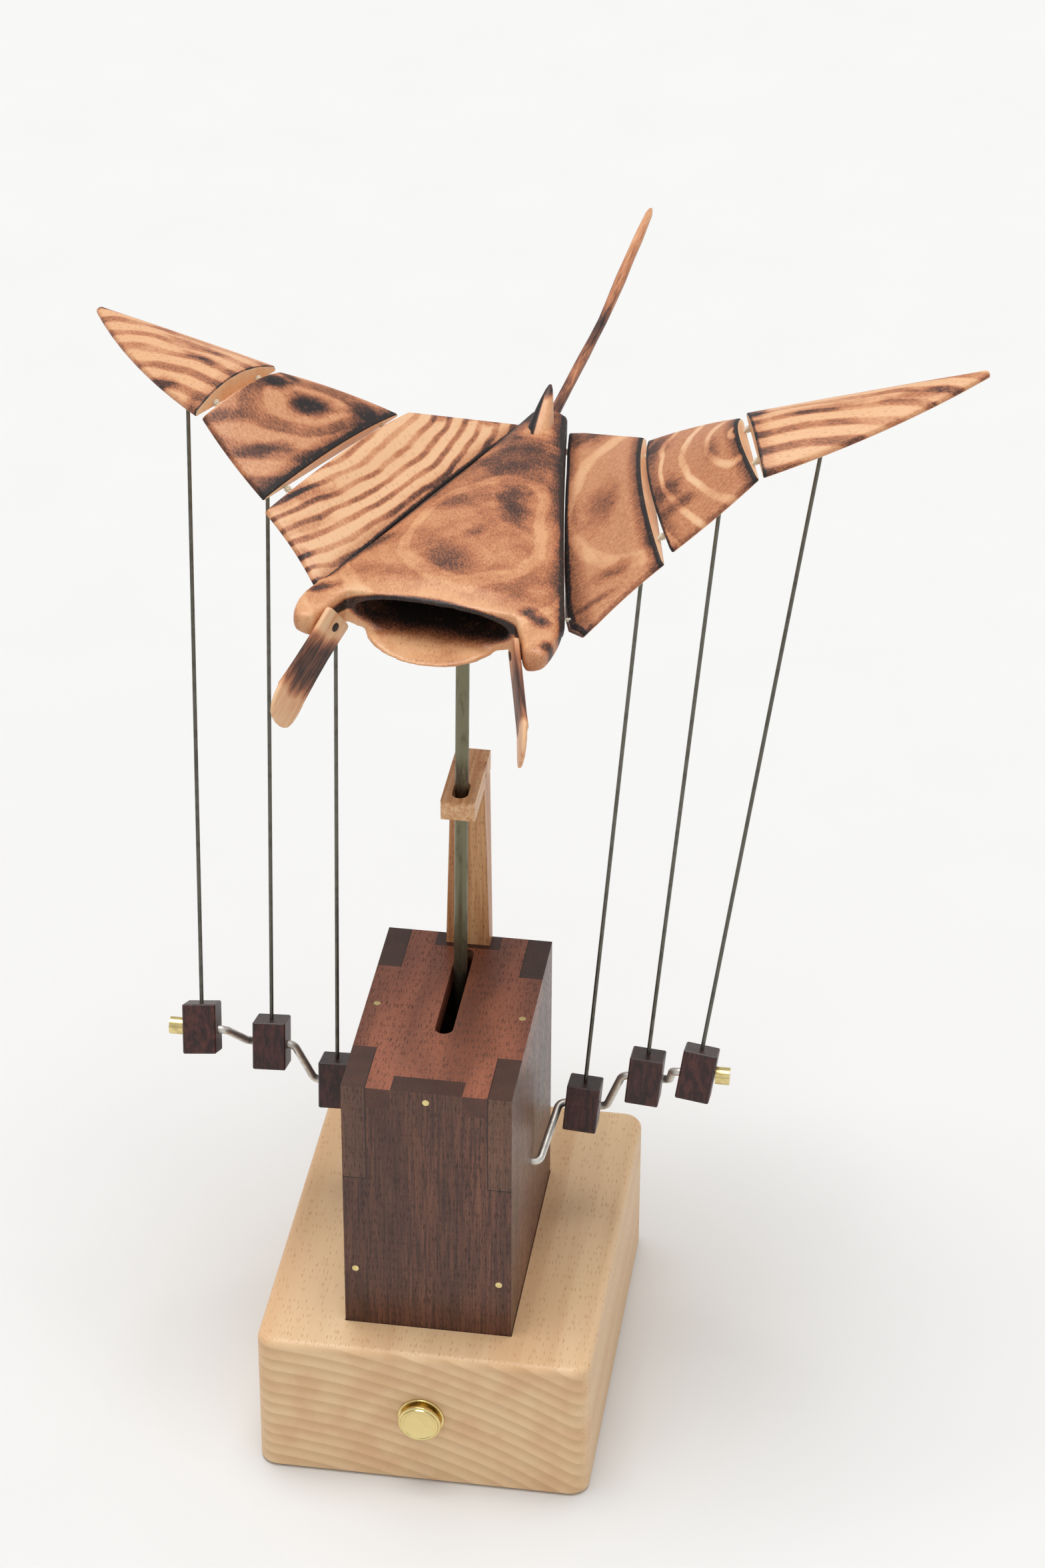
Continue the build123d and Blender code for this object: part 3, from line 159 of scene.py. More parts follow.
# Turn that lays the grain along an axis, and that axis
GRAIN = {"X": ((0.0, 0.0, 0.0), (1, 0, 0)), "Y": ((0.0, 0.0, math.radians(-90)), (0, 1, 0)),
         "Z": ((0.0, math.radians(90), 0.0), (0, 0, 1))}
MANTA = (Matrix.Translation(MANTA_ORIGIN) @ turn(MANTA_YAW, "Z") @ turn(MANTA_PITCH, "X")
         @ turn(MANTA_ROLL, "Y"))


def flapped(plane, back, front, degrees):
    """A plane turned about the line from back to front, both given in that plane."""
    pivot = Vector((*back, 0.0))
    axis = Vector((*front, 0.0)) - pivot
    return plane @ Matrix.Translation(pivot) @ turn(degrees, axis) @ Matrix.Translation(-pivot)


def wing_planes(side):
    """The plane of each panel of a wing, each hinged on the one before."""
    planes, plane = {}, MANTA
    sign = SIDES[side]
    for (name, panel), flap in zip(PANELS.items(), FLAPS[side]):
        front, back = ((sign * x, y) for x, y in panel["inner"])
        plane = flapped(plane, back, front, sign * flap)
        planes[name] = plane
    return planes


WINGS = {side: wing_planes(side) for side in SIDES}


def settings():
    return bpy.context.scene.automaton


def srgb(red, green, blue):
    """Scene-linear colour from eight-bit display values."""
    out = []
    for value in (red, green, blue):
        share = value / 255.0
        out.append(share / 12.92 if share <= 0.04045 else ((share + 0.055) / 1.055) ** 2.4)
    return tuple(out)


# ---------------------------------------------------------------- shader wiring
class Graph:
    """Adds nodes to a tree and wires them from sockets or plain values."""

    def __init__(self, tree):
        self.tree = tree

    def add(self, kind, sockets=None, **facts):
        node = self.tree.nodes.new(kind)
        for key, value in facts.items():
            setattr(node, key, value)
        for key, value in (sockets or {}).items():
            self.feed(node.inputs[key], value)
        return node

    def feed(self, socket, value):
        if isinstance(value, bpy.types.NodeSocket):
            self.tree.links.new(value, socket)
        elif socket.type == "RGBA":
            socket.default_value = (*value[:3], 1.0)
        else:
            socket.default_value = value

    def math(self, operation, first, second=0.0, clamp=False):
        node = self.add("ShaderNodeMath", {0: first, 1: second}, operation=operation,
                        use_clamp=clamp)
        return node.outputs[0]

    def vector(self, operation, first, second=(0.0, 0.0, 0.0)):
        node = self.add("ShaderNodeVectorMath", {0: first, 1: second}, operation=operation)
        return node.outputs["Value"] if operation in ("LENGTH", "DOT_PRODUCT") else node.outputs[0]

    def mix(self, share, first, second, blend="MIX"):
        node = self.add("ShaderNodeMix", {0: share, 6: first, 7: second}, data_type="RGBA",
                        blend_type=blend)
        return node.outputs[2]

    def span(self, value, low, high, out_low=0.0, out_high=1.0, smooth=True):
        node = self.add("ShaderNodeMapRange", {0: value, 1: low, 2: high, 3: out_low, 4: out_high},
                        interpolation_type="SMOOTHSTEP" if smooth else "LINEAR")
        return node.outputs[0]

    def noise(self, vector, scale, detail=3.0, roughness=0.55, distortion=0.0):
        node = self.add("ShaderNodeTexNoise", {"Vector": vector, "Scale": scale, "Detail": detail,
                                               "Roughness": roughness, "Distortion": distortion})
        return node.outputs[0]

    def move(self, vector, location=(0, 0, 0), rotation=(0, 0, 0), scale=(1, 1, 1)):
        node = self.add("ShaderNodeMapping", {"Vector": vector, "Location": location,
                                              "Rotation": rotation, "Scale": scale})
        return node.outputs[0]

    def ramp(self, value, stops):
        node = self.add("ShaderNodeValToRGB", {0: value})
        elements = node.color_ramp.elements
        while len(elements) < len(stops):
            elements.new(0.5)
        for element, (place, colour) in zip(elements, stops):
            element.position = place
            element.color = (*colour[:3], 1.0)
        return node.outputs[0]

    def parts(self, vector):
        return self.add("ShaderNodeSeparateXYZ", {0: vector}).outputs

    def joined(self, x=0.0, y=0.0, z=0.0):
        return self.add("ShaderNodeCombineXYZ", {0: x, 1: y, 2: z}).outputs[0]

    def attribute(self, name, output="Vector"):
        return self.add("ShaderNodeAttribute", attribute_name=name).outputs[output]

    def centred(self, value, amount):
        """A value about one half, made to swing about zero by an amount."""
        return self.math("MULTIPLY", self.math("SUBTRACT", value, 0.5), amount)

    def group(self, name, sockets=None):
        return self.add("ShaderNodeGroup", sockets, node_tree=GROUPS[name])


GROUPS = {}


def new_group(name, inputs, outputs):
    """An empty shader group with named sockets; returns its graph and its two ends."""
    tree = bpy.data.node_groups.new(name, "ShaderNodeTree")
    for label, kind, value in inputs:
        socket = tree.interface.new_socket(label, in_out="INPUT", socket_type=f"NodeSocket{kind}")
        if value is not None:
            socket.default_value = (*value, 1.0) if kind == "Color" else value
    for label, kind in outputs:
        tree.interface.new_socket(label, in_out="OUTPUT", socket_type=f"NodeSocket{kind}")
    graph = Graph(tree)
    start = graph.add("NodeGroupInput")
    end = graph.add("NodeGroupOutput")
    GROUPS[name] = tree
    return graph, start.outputs, end.inputs


def make_dashes():
    """Short dark dashes along X, for the pores and flecks of wood."""
    g, given, made = new_group(
        "Dashes",
        [("Vector", "Vector", None), ("Length", "Float", 3.0), ("Width", "Float", 0.3),
         ("Share", "Float", 0.4)],
        [("Mask", "Float")])
    size = g.joined(given["Length"], given["Width"], given["Width"])
    place = g.vector("DIVIDE", given["Vector"], size)
    cells = g.add("ShaderNodeTexVoronoi", {"Vector": place, "Scale": 1.0})
    spot = g.span(cells.outputs["Distance"], 0.22, 0.42, 1.0, 0.0)
    pick = g.add("ShaderNodeSeparateColor", {0: cells.outputs["Color"]}).outputs[0]
    chosen = g.math("LESS_THAN", pick, given["Share"])
    g.feed(made["Mask"], g.math("MULTIPLY", spot, chosen))


def make_rings():
    """Growth rings round the X axis of the given place; a slow rise and a sharp fall."""
    g, given, made = new_group(
        "Growth rings",
        [("Vector", "Vector", None), ("Spacing", "Float", 5.0), ("Wander", "Float", 1.0),
         ("Wave size", "Float", 40.0), ("Phase", "Float", 0.0)],
        [("Band", "Float"), ("Soft band", "Float")])
    flat = g.vector("MULTIPLY", given["Vector"], (0.0, 1.0, 1.0))
    reach = g.vector("LENGTH", flat)
    waves = g.noise(given["Vector"], g.math("DIVIDE", 1.0, given["Wave size"]), 2.0, 0.5)
    shift = g.centred(waves, given["Wander"])
    turns = g.math("ADD", g.math("DIVIDE", g.math("ADD", reach, shift), given["Spacing"]),
                   given["Phase"])
    part = g.math("FRACT", turns)
    rise = g.span(part, 0.15, 0.86)
    fall = g.span(part, 0.90, 1.0, 1.0, 0.0)
    g.feed(made["Band"], g.math("MULTIPLY", rise, fall))
    wave = g.math("SINE", g.math("MULTIPLY", turns, 2.0 * math.pi))
    g.feed(made["Soft band"], g.math("ADD", g.math("MULTIPLY", wave, 0.5), 0.5))


def make_fibre():
    """Fine fibres along X and a slow cloudiness, both about one half."""
    g, given, made = new_group(
        "Fibres",
        [("Vector", "Vector", None), ("Stretch", "Float", 0.06), ("Fineness", "Float", 3.0)],
        [("Fibre", "Float"), ("Cloud", "Float")])
    size = g.joined(given["Stretch"], 1.0, 1.0)
    place = g.vector("MULTIPLY", given["Vector"], size)
    g.feed(made["Fibre"], g.noise(place, given["Fineness"], 5.0, 0.62))
    g.feed(made["Cloud"], g.noise(place, 0.09, 3.0, 0.5))


def make_toast():
    """Colour and roughness of pale wood from unburnt, 0, to char, 1."""
    look = settings()
    g, given, made = new_group(
        "Toasted wood",
        [("Burn", "Float", 0.2), ("Fibre", "Float", 0.5), ("Dashes", "Float", 0.0),
         ("Tint", "Color", (1.0, 1.0, 1.0))],
        [("Color", "Color"), ("Roughness", "Float"), ("Height", "Float")])
    amount = g.span(given["Burn"], 0.1, 0.6, 0.20, 0.85, False)
    lift = g.centred(given["Fibre"], amount)
    burn = g.math("ADD", given["Burn"], lift, clamp=True)
    colour = g.ramp(burn, [
        (0.0, look.pale_wood), (0.22, look.warm_wood), (0.46, look.toasted_wood),
        (0.70, look.brown_wood), (0.92, look.char)])
    marks = g.math("MULTIPLY", given["Dashes"], 0.5)
    colour = g.mix(marks, colour, look.fleck)
    colour = g.mix(1.0, colour, given["Tint"], "MULTIPLY")
    g.feed(made["Color"], colour)
    g.feed(made["Roughness"], g.span(burn, 0.0, 1.0, 0.46, 0.62, False))
    dents = g.math("MULTIPLY", given["Dashes"], -0.6)
    g.feed(made["Height"], g.math("ADD", g.math("MULTIPLY", given["Fibre"], 0.5), dents))


def make_joints():
    """Dark hairlines where the box's boards meet at its corners."""
    g, given, made = new_group("Joint lines", [("Vector", "Vector", None)], [("Mask", "Float")])
    x, y, z = g.parts(given["Vector"])
    wide, depth = g.math("ABSOLUTE", x), g.math("ABSOLUTE", g.math("SUBTRACT", y, BOX_MIDDLE))

    def line(value, at):
        return g.span(g.math("ABSOLUTE", g.math("SUBTRACT", value, at)), 0.10, 0.24, 1.0, 0.0)

    high = g.math("GREATER_THAN", z, FINGER_Z)
    finger = g.math("MULTIPLY", high, g.math("GREATER_THAN", depth, BOX_FINGER_Y))
    upright = g.math("MULTIPLY", line(wide, BOX_INNER_X), finger)
    corner = g.math("MULTIPLY", line(z, FINGER_Z), g.math("GREATER_THAN", depth, BOX_INNER_Y))
    corner = g.math("MULTIPLY", corner, g.math("GREATER_THAN", wide, BOX_INNER_X - 0.2))
    flank = g.math("MULTIPLY", line(depth, BOX_INNER_Y), g.math("SUBTRACT", 1.0, high))
    g.feed(made["Mask"], g.math("MAXIMUM", upright, g.math("MAXIMUM", corner, flank)))


def make_groups():
    make_joints()
    make_dashes()
    make_rings()
    make_fibre()
    make_toast()


def new_material(name):
    """A material with a Principled shader; returns it, its graph and its shader."""
    material = bpy.data.materials.new(name)
    material.use_nodes = True
    tree = material.node_tree
    shader = next(n for n in tree.nodes if n.type == "BSDF_PRINCIPLED")
    return material, Graph(tree), shader


def own_place(graph):
    """The piece's own place in millimetres."""
    place = graph.add("ShaderNodeTexCoord").outputs["Object"]
    scaled = graph.add("ShaderNodeVectorMath", {0: place, "Scale": 1.0 / MM}, operation="SCALE")
    return scaled.outputs[0]


def grained(name, along):
    """A material whose place in millimetres is turned so that the grain runs along its X."""
    material, graph, shader = new_material(name)
    place = own_place(graph)
    return material, graph, shader, place, graph.move(place, rotation=GRAIN[along][0])


def end_grain(graph, along, low, high, most=1.0):
    """How much the surface is end grain, from 0 on the long sides."""
    normal = graph.add("ShaderNodeNewGeometry").outputs["Normal"]
    facing = graph.math("ABSOLUTE", graph.vector("DOT_PRODUCT", normal, GRAIN[along][1]))
    return graph.span(facing, low, high, 0.0, most)


def bump(graph, shader, height, distance, strength=1.0):
    """Relief in metres on the shader's normal."""
    node = graph.add("ShaderNodeBump", {"Height": height, "Distance": distance,
                                        "Strength": strength})
    graph.feed(shader.inputs["Normal"], node.outputs[0])


# ---------------------------------------------------------------- wood materials
def beech(name, along="Y", pith=(0.0, 60.0, -170.0)):
    """Steamed beech: pale, with fine flecks and faint rings that show on end grain."""
    look = settings()
    material, g, shader, _, grain = grained(name, along)
    centred = g.vector("SUBTRACT", grain, Vector(pith))
    fibres = g.group("Fibres", {"Vector": grain, "Stretch": 0.05, "Fineness": 1.6})
    rings = g.group("Growth rings", {"Vector": centred, "Spacing": 4.0, "Wander": 5.0,
                                     "Wave size": 90.0})
    dashes = g.group("Dashes", {"Vector": grain, "Length": 3.0, "Width": 0.40, "Share": 0.34})
    end = end_grain(g, along, 0.55, 0.9)
    colour = g.mix(g.span(fibres.outputs["Cloud"], 0.35, 0.7), look.beech, look.beech_rosy)
    ring_share = g.math("MULTIPLY", rings.outputs["Band"], g.span(end, 0, 1, 0.10, 0.36, False))
    colour = g.mix(ring_share, colour, look.beech_ring)
    colour = g.mix(g.math("MULTIPLY", g.span(fibres.outputs["Fibre"], 0.35, 0.75), 0.30),
                   colour, look.beech_rosy)
    flecks = g.math("MULTIPLY", dashes.outputs[0], g.span(end, 0, 1, 0.60, 0.15, False))
    colour = g.mix(flecks, colour, look.beech_fleck)
    g.feed(shader.inputs["Base Color"], colour)
    g.feed(shader.inputs["Roughness"], g.span(fibres.outputs["Fibre"], 0.2, 0.8, 0.40, 0.52))
    shader.inputs["Specular IOR Level"].default_value = 0.4
    relief = g.math("SUBTRACT", g.math("MULTIPLY", fibres.outputs["Fibre"], 0.35),
                    g.math("MULTIPLY", dashes.outputs[0], 0.5))
    bump(g, shader, relief, 0.05 * MM, 0.5)
    return material


def walnut(name, along, tone, deep=None):
    """Oiled walnut with dark end grain; tone mixes from the deep brown, painted shade, to the redder
    lit face.
    """
    look = settings()
    material, g, shader, place, grain = grained(name, along)
    fibres = g.group("Fibres", {"Vector": grain, "Stretch": 0.035, "Fineness": 1.3})
    rings = g.group("Growth rings", {"Vector": g.vector("SUBTRACT", grain, (0, 60.0, 45.0)),
                                     "Spacing": 8.0, "Wander": 16.0, "Wave size": 45.0})
    dashes = g.group("Dashes", {"Vector": grain, "Length": 3.4, "Width": 0.34, "Share": 0.55})
    fine = g.group("Dashes", {"Vector": g.move(grain, (7.7, 3.1, 5.3)), "Length": 1.6,
                              "Width": 0.22, "Share": 0.5})
    # Painted shade: a low tone shades a board towards the deep colour, a high one paints it lit red
    colour = g.mix(tone, deep or look.walnut_deep, look.walnut_red)
    streak = g.span(fibres.outputs["Fibre"], 0.30, 0.72)
    colour = g.mix(g.math("MULTIPLY", streak, 0.55), colour, look.walnut_light)
    colour = g.mix(g.math("MULTIPLY", rings.outputs["Soft band"], 0.28), colour, look.walnut_deep)
    cloud = g.span(fibres.outputs["Cloud"], 0.42, 0.66)
    colour = g.mix(g.math("MULTIPLY", cloud, 0.35), colour, look.walnut_deep)
    colour = g.mix(end_grain(g, along, 0.6, 0.95, 0.75), colour, look.walnut_deep)
    pores = g.math("MAXIMUM", dashes.outputs[0], g.math("MULTIPLY", fine.outputs[0], 0.7))
    colour = g.mix(g.math("MULTIPLY", pores, 0.75), colour, look.walnut_pore)
    joints = g.group("Joint lines", {"Vector": place})
    colour = g.mix(g.math("MULTIPLY", joints.outputs[0], 0.85), colour, srgb(20, 12, 10))
    g.feed(shader.inputs["Base Color"], colour)
    g.feed(shader.inputs["Roughness"], g.span(pores, 0.0, 1.0, 0.36, 0.65, False))
    shader.inputs["Specular IOR Level"].default_value = 0.45
    relief = g.math("SUBTRACT", g.math("MULTIPLY", fibres.outputs["Fibre"], 0.2),
                    g.math("MULTIPLY", pores, 0.7))
    bump(g, shader, relief, 0.08 * MM, 0.6)
    return material


def plain_wood(name, along, light, dark, pore, end_dark=0.0):
    """Oiled wood with fibres along one axis, for the post, the arm and the blocks."""
    material, g, shader, _, grain = grained(name, along)
    fibres = g.group("Fibres", {"Vector": grain, "Stretch": 0.05, "Fineness": 1.5})
    bands = g.noise(g.vector("MULTIPLY", grain, (0.02, 1.0, 1.0)), 0.7, 3.0, 0.6, 0.4)
    dashes = g.group("Dashes", {"Vector": grain, "Length": 2.2, "Width": 0.3, "Share": 0.4})
    colour = g.mix(g.span(bands, 0.36, 0.64), light, dark)
    colour = g.mix(g.math("MULTIPLY", g.span(fibres.outputs["Fibre"], 0.3, 0.7), 0.4), colour,
                   dark)
    colour = g.mix(g.math("MULTIPLY", dashes.outputs[0], 0.6), colour, pore)
    if end_dark:
        end = end_grain(g, along, 0.6, 0.95)
        colour = g.mix(g.math("MULTIPLY", end, end_dark), colour, pore)
    g.feed(shader.inputs["Base Color"], colour)
    shader.inputs["Roughness"].default_value = 0.42
    bump(g, shader, g.math("SUBTRACT", fibres.outputs["Fibre"], dashes.outputs[0]), 0.06 * MM, 0.5)
    return material


# ---------------------------------------------------------------- metals and small parts
def metal(name, colour, dull, roughness, scratch=0.08, grain=(1, 1, 1), blotch=0.35):
    """Metal with a fine drawn grain and patches of a duller tone."""
    material, g, shader = new_material(name)
    place = own_place(g)
    fine = g.noise(g.vector("MULTIPLY", place, grain), 4.0, 4.0, 0.6)
    slow = g.noise(place, 0.35, 4.0, 0.6)
    patch = g.math("MULTIPLY", g.span(slow, 0.42, 0.68), blotch)
    g.feed(shader.inputs["Base Color"], g.mix(patch, colour, dull))
    rough = g.math("ADD", g.centred(fine, scratch * 2.0),
                   g.math("ADD", roughness, g.math("MULTIPLY", patch, 0.25)), clamp=True)
    g.feed(shader.inputs["Roughness"], rough)
    shader.inputs["Metallic"].default_value = 1.0
    bump(g, shader, fine, 0.01 * MM, scratch * 3.0)
    return material


def plastic(name, colour, other, roughness, size=0.6):
    """Moulded plastic or a coated part, with a faint orange-peel surface."""
    material, g, shader = new_material(name)
    peel = g.noise(own_place(g), size, 3.0, 0.5)
    g.feed(shader.inputs["Base Color"], g.mix(g.span(peel, 0.35, 0.7), colour, other))
    shader.inputs["Roughness"].default_value = roughness
    bump(g, shader, peel, 0.02 * MM, 0.4)
    return material


def cord():
    """Matt twisted cord with a faint fuzz."""
    look = settings()
    material, g, shader = new_material("Cord")
    fuzz = g.noise(own_place(g), 6.0, 3.0, 0.6)
    g.feed(shader.inputs["Base Color"], g.mix(fuzz, look.cord, srgb(196, 184, 158)))
    shader.inputs["Roughness"].default_value = 0.75
    bump(g, shader, fuzz, 0.04 * MM, 0.6)
    return material


def centre_rod_steel():
    """Aged steel with a stain where it slides in the guide, darker towards the box."""
    look = settings()
    material, g, shader = new_material("Centre rod steel")
    place = own_place(g)
    height = g.parts(place)[2]
    slow = g.noise(g.vector("MULTIPLY", place, (1, 1, 0.25)), 0.5, 4.0, 0.6)
    near = g.span(g.math("ABSOLUTE", g.math("SUBTRACT", height, 199.0)), 3.0, 12.0, 0.75, 0.0)
    stain = g.math("MAXIMUM", g.math("MULTIPLY", near, g.span(slow, 0.25, 0.6)),
                   g.math("MULTIPLY", g.span(slow, 0.52, 0.72), 0.5))
    colour = g.mix(stain, look.rod, srgb(62, 40, 28))
    colour = g.mix(g.span(height, 120.0, 165.0, 0.55, 0.0), colour, srgb(44, 42, 42))
    g.feed(shader.inputs["Base Color"], colour)
    shader.inputs["Metallic"].default_value = 0.85
    g.feed(shader.inputs["Roughness"], g.span(slow, 0.3, 0.7, 0.32, 0.5))
    bump(g, shader, slow, 0.02 * MM, 0.4)
    return material


# ---------------------------------------------------------------- burnt wood
# Growth figure of each panel, in its own flat millimetres: the rings' centre, the angle of
# their long axis, how much they are squeezed along it, spacing, phase, wander, strength
# and where a stripe starts in the wave; then the even burn, the burnt rims at the inner and
# outer end, and the burnt patches as (x, y, length, width, angle, strength)
PANEL_LOOKS = {
    ("left", "inner"): ((159.5, 78.0, 0.0, 1.0, 4.7, 0.2, 1.5, 0.46, 0.38), 0.13, 0.85, 0.0, (
        (57.0, 12.0, 15.0, 5.0, 135.0, 0.34), (50.0, 4.0, 10.0, 3.5, 130.0, 0.22),
        (28.0, 80.0, 10.0, 2.2, 108.0, 0.50), (21.0, 84.0, 9.0, 2.0, 108.0, 0.50),
        (15.0, 88.0, 9.0, 2.0, 108.0, 0.45), (46.0, -5.0, 3.5, 2.5, 0.0, 0.25))),
    ("left", "middle"): ((67.0, 45.0, 139.0, 0.52, 9.6, 0.25, 3.0, 0.30, 0.25), 0.16, 1.15, 0.25, (
        (65.3, 46.0, 10.0, 6.0, 139.0, 0.56), (77.3, 47.6, 5.5, 4.0, 139.0, 0.42),
        (74.6, 55.0, 4.0, 2.5, 0.0, 0.40), (50.8, 57.6, 9.0, 5.0, 125.0, 0.38),
        (85.4, 26.0, 8.0, 3.0, 150.0, 0.30), (71.2, 21.5, 10.0, 3.2, 140.0, 0.32))),
    ("left", "outer"): ((170.0, -78.0, 0.0, 1.0, 6.6, 0.35, 3.0, 0.34, 0.30), 0.20, 0.45, 0.0, (
        (96.0, 27.0, 5.0, 3.0, 60.0, 0.32), (100.0, 50.0, 12.0, 2.2, 35.0, 0.35),
        (106.0, 61.0, 16.0, 2.2, 30.0, 0.30), (143.0, 86.0, 7.0, 2.5, 0.0, 0.65),
        (108.0, 39.0, 7.0, 2.6, 30.0, 0.30))),
    ("right", "inner"): ((49.0, 44.0, 108.5, 0.68, 27.0, 0.27, 2.5, -0.20, 0.90), 0.38, 0.80, 1.0, (
        (35.0, 37.0, 12.0, 7.0, 100.0, 0.24), (20.0, 84.0, 14.0, 9.0, 0.0, 0.34),
        (13.0, 60.0, 20.0, 4.0, 105.0, 0.20), (46.0, 6.0, 10.0, 3.4, 10.0, 0.26),
        (40.0, -4.0, 9.0, 1.8, 20.0, 0.26), (58.0, 12.0, 8.0, 3.0, 90.0, 0.18))),
    ("right", "middle"): ((81.0, 44.0, 111.0, 0.60, 7.6, 0.05, 2.6, -0.34, 0.72), 0.42, 0.65, 0.95, (
        (61.0, 30.0, 7.0, 5.0, 110.0, 0.30), (49.0, 58.0, 12.0, 6.0, 110.0, 0.28),
        (66.0, 22.0, 7.0, 3.2, 20.0, 0.30), (74.0, 40.0, 6.0, 3.0, 110.0, 0.26))),
    ("right", "outer"): ((170.0, -78.0, 0.0, 1.0, 7.0, 0.15, 2.2, 0.40, 0.30), 0.16, 0.60, 0.0, (
        (84.0, 54.0, 7.0, 5.0, 110.0, 0.42), (128.0, 68.0, 12.0, 3.0, 30.0, 0.34),
        (104.0, 56.0, 20.0, 3.0, 32.0, 0.26))),
}
# Burnt patches on the body, in the manta's own plane
BODY_PATCHES = (
    (6.0, 31.0, 15.0, 5.0, 112.0, 0.40), (-4.5, -2.0, 11.0, 9.0, 90.0, 0.26),
    (-10.0, 31.0, 10.0, 5.0, 20.0, 0.22), (-0.6, 14.0, 6.0, 3.0, 60.0, 0.20),
    (-28.0, 5.0, 9.0, 2.8, 62.0, 0.30), (0.0, 62.0, 26.0, 16.0, 90.0, 0.24),
    (-4.0, 86.0, 8.0, 6.0, 0.0, 0.26), (14.0, 52.0, 22.0, 5.0, 105.0, 0.20),
    (27.0, 4.0, 22.0, 4.0, 98.0, 0.16), (-34.5, -21.0, 5.0, 3.4, 20.0, 0.58),
    (26.5, -20.5, 6.0, 3.2, 160.0, 0.60), (33.5, -31.0, 3.0, 3.0, 0.0, 0.55),
    (-20.0, -12.0, 12.0, 5.0, 0.0, 0.12), (14.0, -12.0, 12.0, 5.0, 0.0, 0.12),
)


def along_axis(graph, level, x, y, angle):
    """The place measured from a point, with its X turned to an angle in degrees."""
    moved = graph.vector("SUBTRACT", level, (x, y, 0.0))
    return graph.move(moved, rotation=(0, 0, math.radians(-angle)))


def toasted(graph, shader, burn, fibre, dashes=0.0, tint=(1.0, 1.0, 1.0)):
    """Give the shader the toasted wood's colour; returns the wood's roughness and height."""
    toast = graph.group("Toasted wood", {"Burn": burn, "Fibre": fibre, "Dashes": dashes,
                                         "Tint": tint})
    graph.feed(shader.inputs["Base Color"], toast.outputs["Color"])
    return toast.outputs["Roughness"], toast.outputs["Height"]


def carved_grain(graph, vector, stretch, fineness, length, width, share):
    """Fibres and dashes of carved wood along the X of the given place."""
    fibres = graph.group("Fibres", {"Vector": vector, "Stretch": stretch, "Fineness": fineness})
    dashes = graph.group("Dashes", {"Vector": vector, "Length": length, "Width": width,
                                    "Share": share})
    return fibres.outputs, dashes.outputs[0]


def patches(graph, level, spots):
    """Soft burnt patches, the strongest winning where they overlap."""
    wobble = graph.centred(graph.noise(level, 0.16, 3.0, 0.6), 1.3)
    total = 0.0
    for x, y, length, width, angle, strength in spots:
        place = along_axis(graph, level, x, y, angle)
        shrunk = graph.vector("MULTIPLY", place, (1.0 / length, 1.0 / width, 0.0))
        reach = graph.math("ADD", graph.vector("LENGTH", shrunk), wobble)
        total = graph.math("MAXIMUM", total, graph.span(reach, 0.15, 1.25, strength, 0.0))
    return total


def ring_place(graph, level, x, y, angle, squeeze):
    """The place round a ring centre, squeezed along the rings' long axis."""
    place = along_axis(graph, level, x, y, angle)
    long_way, short_way, _ = graph.parts(place)
    return graph.joined(0.0, graph.math("MULTIPLY", long_way, squeeze), short_way)


def burnt_panel(side, name):
    """The toasted top, burnt rims and growth bands of one wing panel."""
    figure, base, rim_in, rim_out, spots = PANEL_LOOKS[side, name]
    x, y, angle, squeeze, spacing, phase, wander, strength, edge = figure
    material, g, shader = new_material(f"Burnt {side} {name} panel")
    flat, rims = g.attribute("flat"), g.parts(g.attribute("rims"))
    level = g.vector("MULTIPLY", flat, (1.0, 1.0, 0.0))
    shift = g.centred(g.noise(level, 0.045, 2.0, 0.5), wander * 3.0)
    around = g.vector("ADD", ring_place(g, level, x, y, angle, squeeze),
                      g.joined(0.0, shift, shift))
    rings = g.group("Growth rings", {"Vector": around, "Spacing": spacing, "Wander": 0.0,
                                     "Phase": phase})
    grain = g.move(flat, rotation=(0, 0, math.radians(-35)))
    fibres, dashes = carved_grain(g, grain, 0.40, 2.3, 2.2, 0.36, 0.20)
    gate = g.span(g.noise(level, 0.06, 2.0, 0.5), 0.36, 0.62, 0.45, 1.0)
    stripe = g.span(rings.outputs["Soft band"], edge, min(1.0, edge + 0.6), 0.0, strength)
    burn = g.math("ADD", g.math("MULTIPLY", stripe, gate), base)
    burn = g.math("ADD", burn, patches(g, level, spots))
    ragged = g.centred(g.noise(flat, 0.35, 3.0, 0.6), 0.9)
    for rim, amount in ((rims[0], rim_in), (rims[1], rim_out)):
        if amount:
            near = g.math("ADD", rim, ragged)
            burn = g.math("ADD", burn, g.span(near, 0.5, 1.9 * amount, 0.70 * amount, 0.0))
            burn = g.math("ADD", burn, g.span(near, 0.8, 6.0, 0.32 * amount, 0.0))
    burn = g.math("ADD", burn, g.span(g.math("ADD", rims[2], ragged), 0.0, 1.3, 0.16, 0.0))
    under = g.span(g.parts(flat)[2], 0.05, 0.6)
    burn = g.math("ADD", g.math("MULTIPLY", burn, under), g.span(under, 0.0, 1.0, 0.10, 0.0))
    roughness, height = toasted(g, shader, burn, fibres["Fibre"], dashes)
    g.feed(shader.inputs["Roughness"], roughness)
    shader.inputs["Specular IOR Level"].default_value = 0.45
    bump(g, shader, height, 0.07 * MM, 0.5)
    return material


def end_face(name, burn):
    """The cut end of a panel, with its fibres; unburnt or dark."""
    material, g, shader = new_material(name)
    fibres, dashes = carved_grain(g, own_place(g), 0.3, 1.4, 1.4, 0.5, 0.18)
    level = g.span(fibres["Cloud"], 0.3, 0.7, burn, burn + 0.14)
    height = toasted(g, shader, level, fibres["Fibre"], dashes)[1]
    shader.inputs["Roughness"].default_value = 0.5
    bump(g, shader, height, 0.08 * MM, 0.5)
    return material


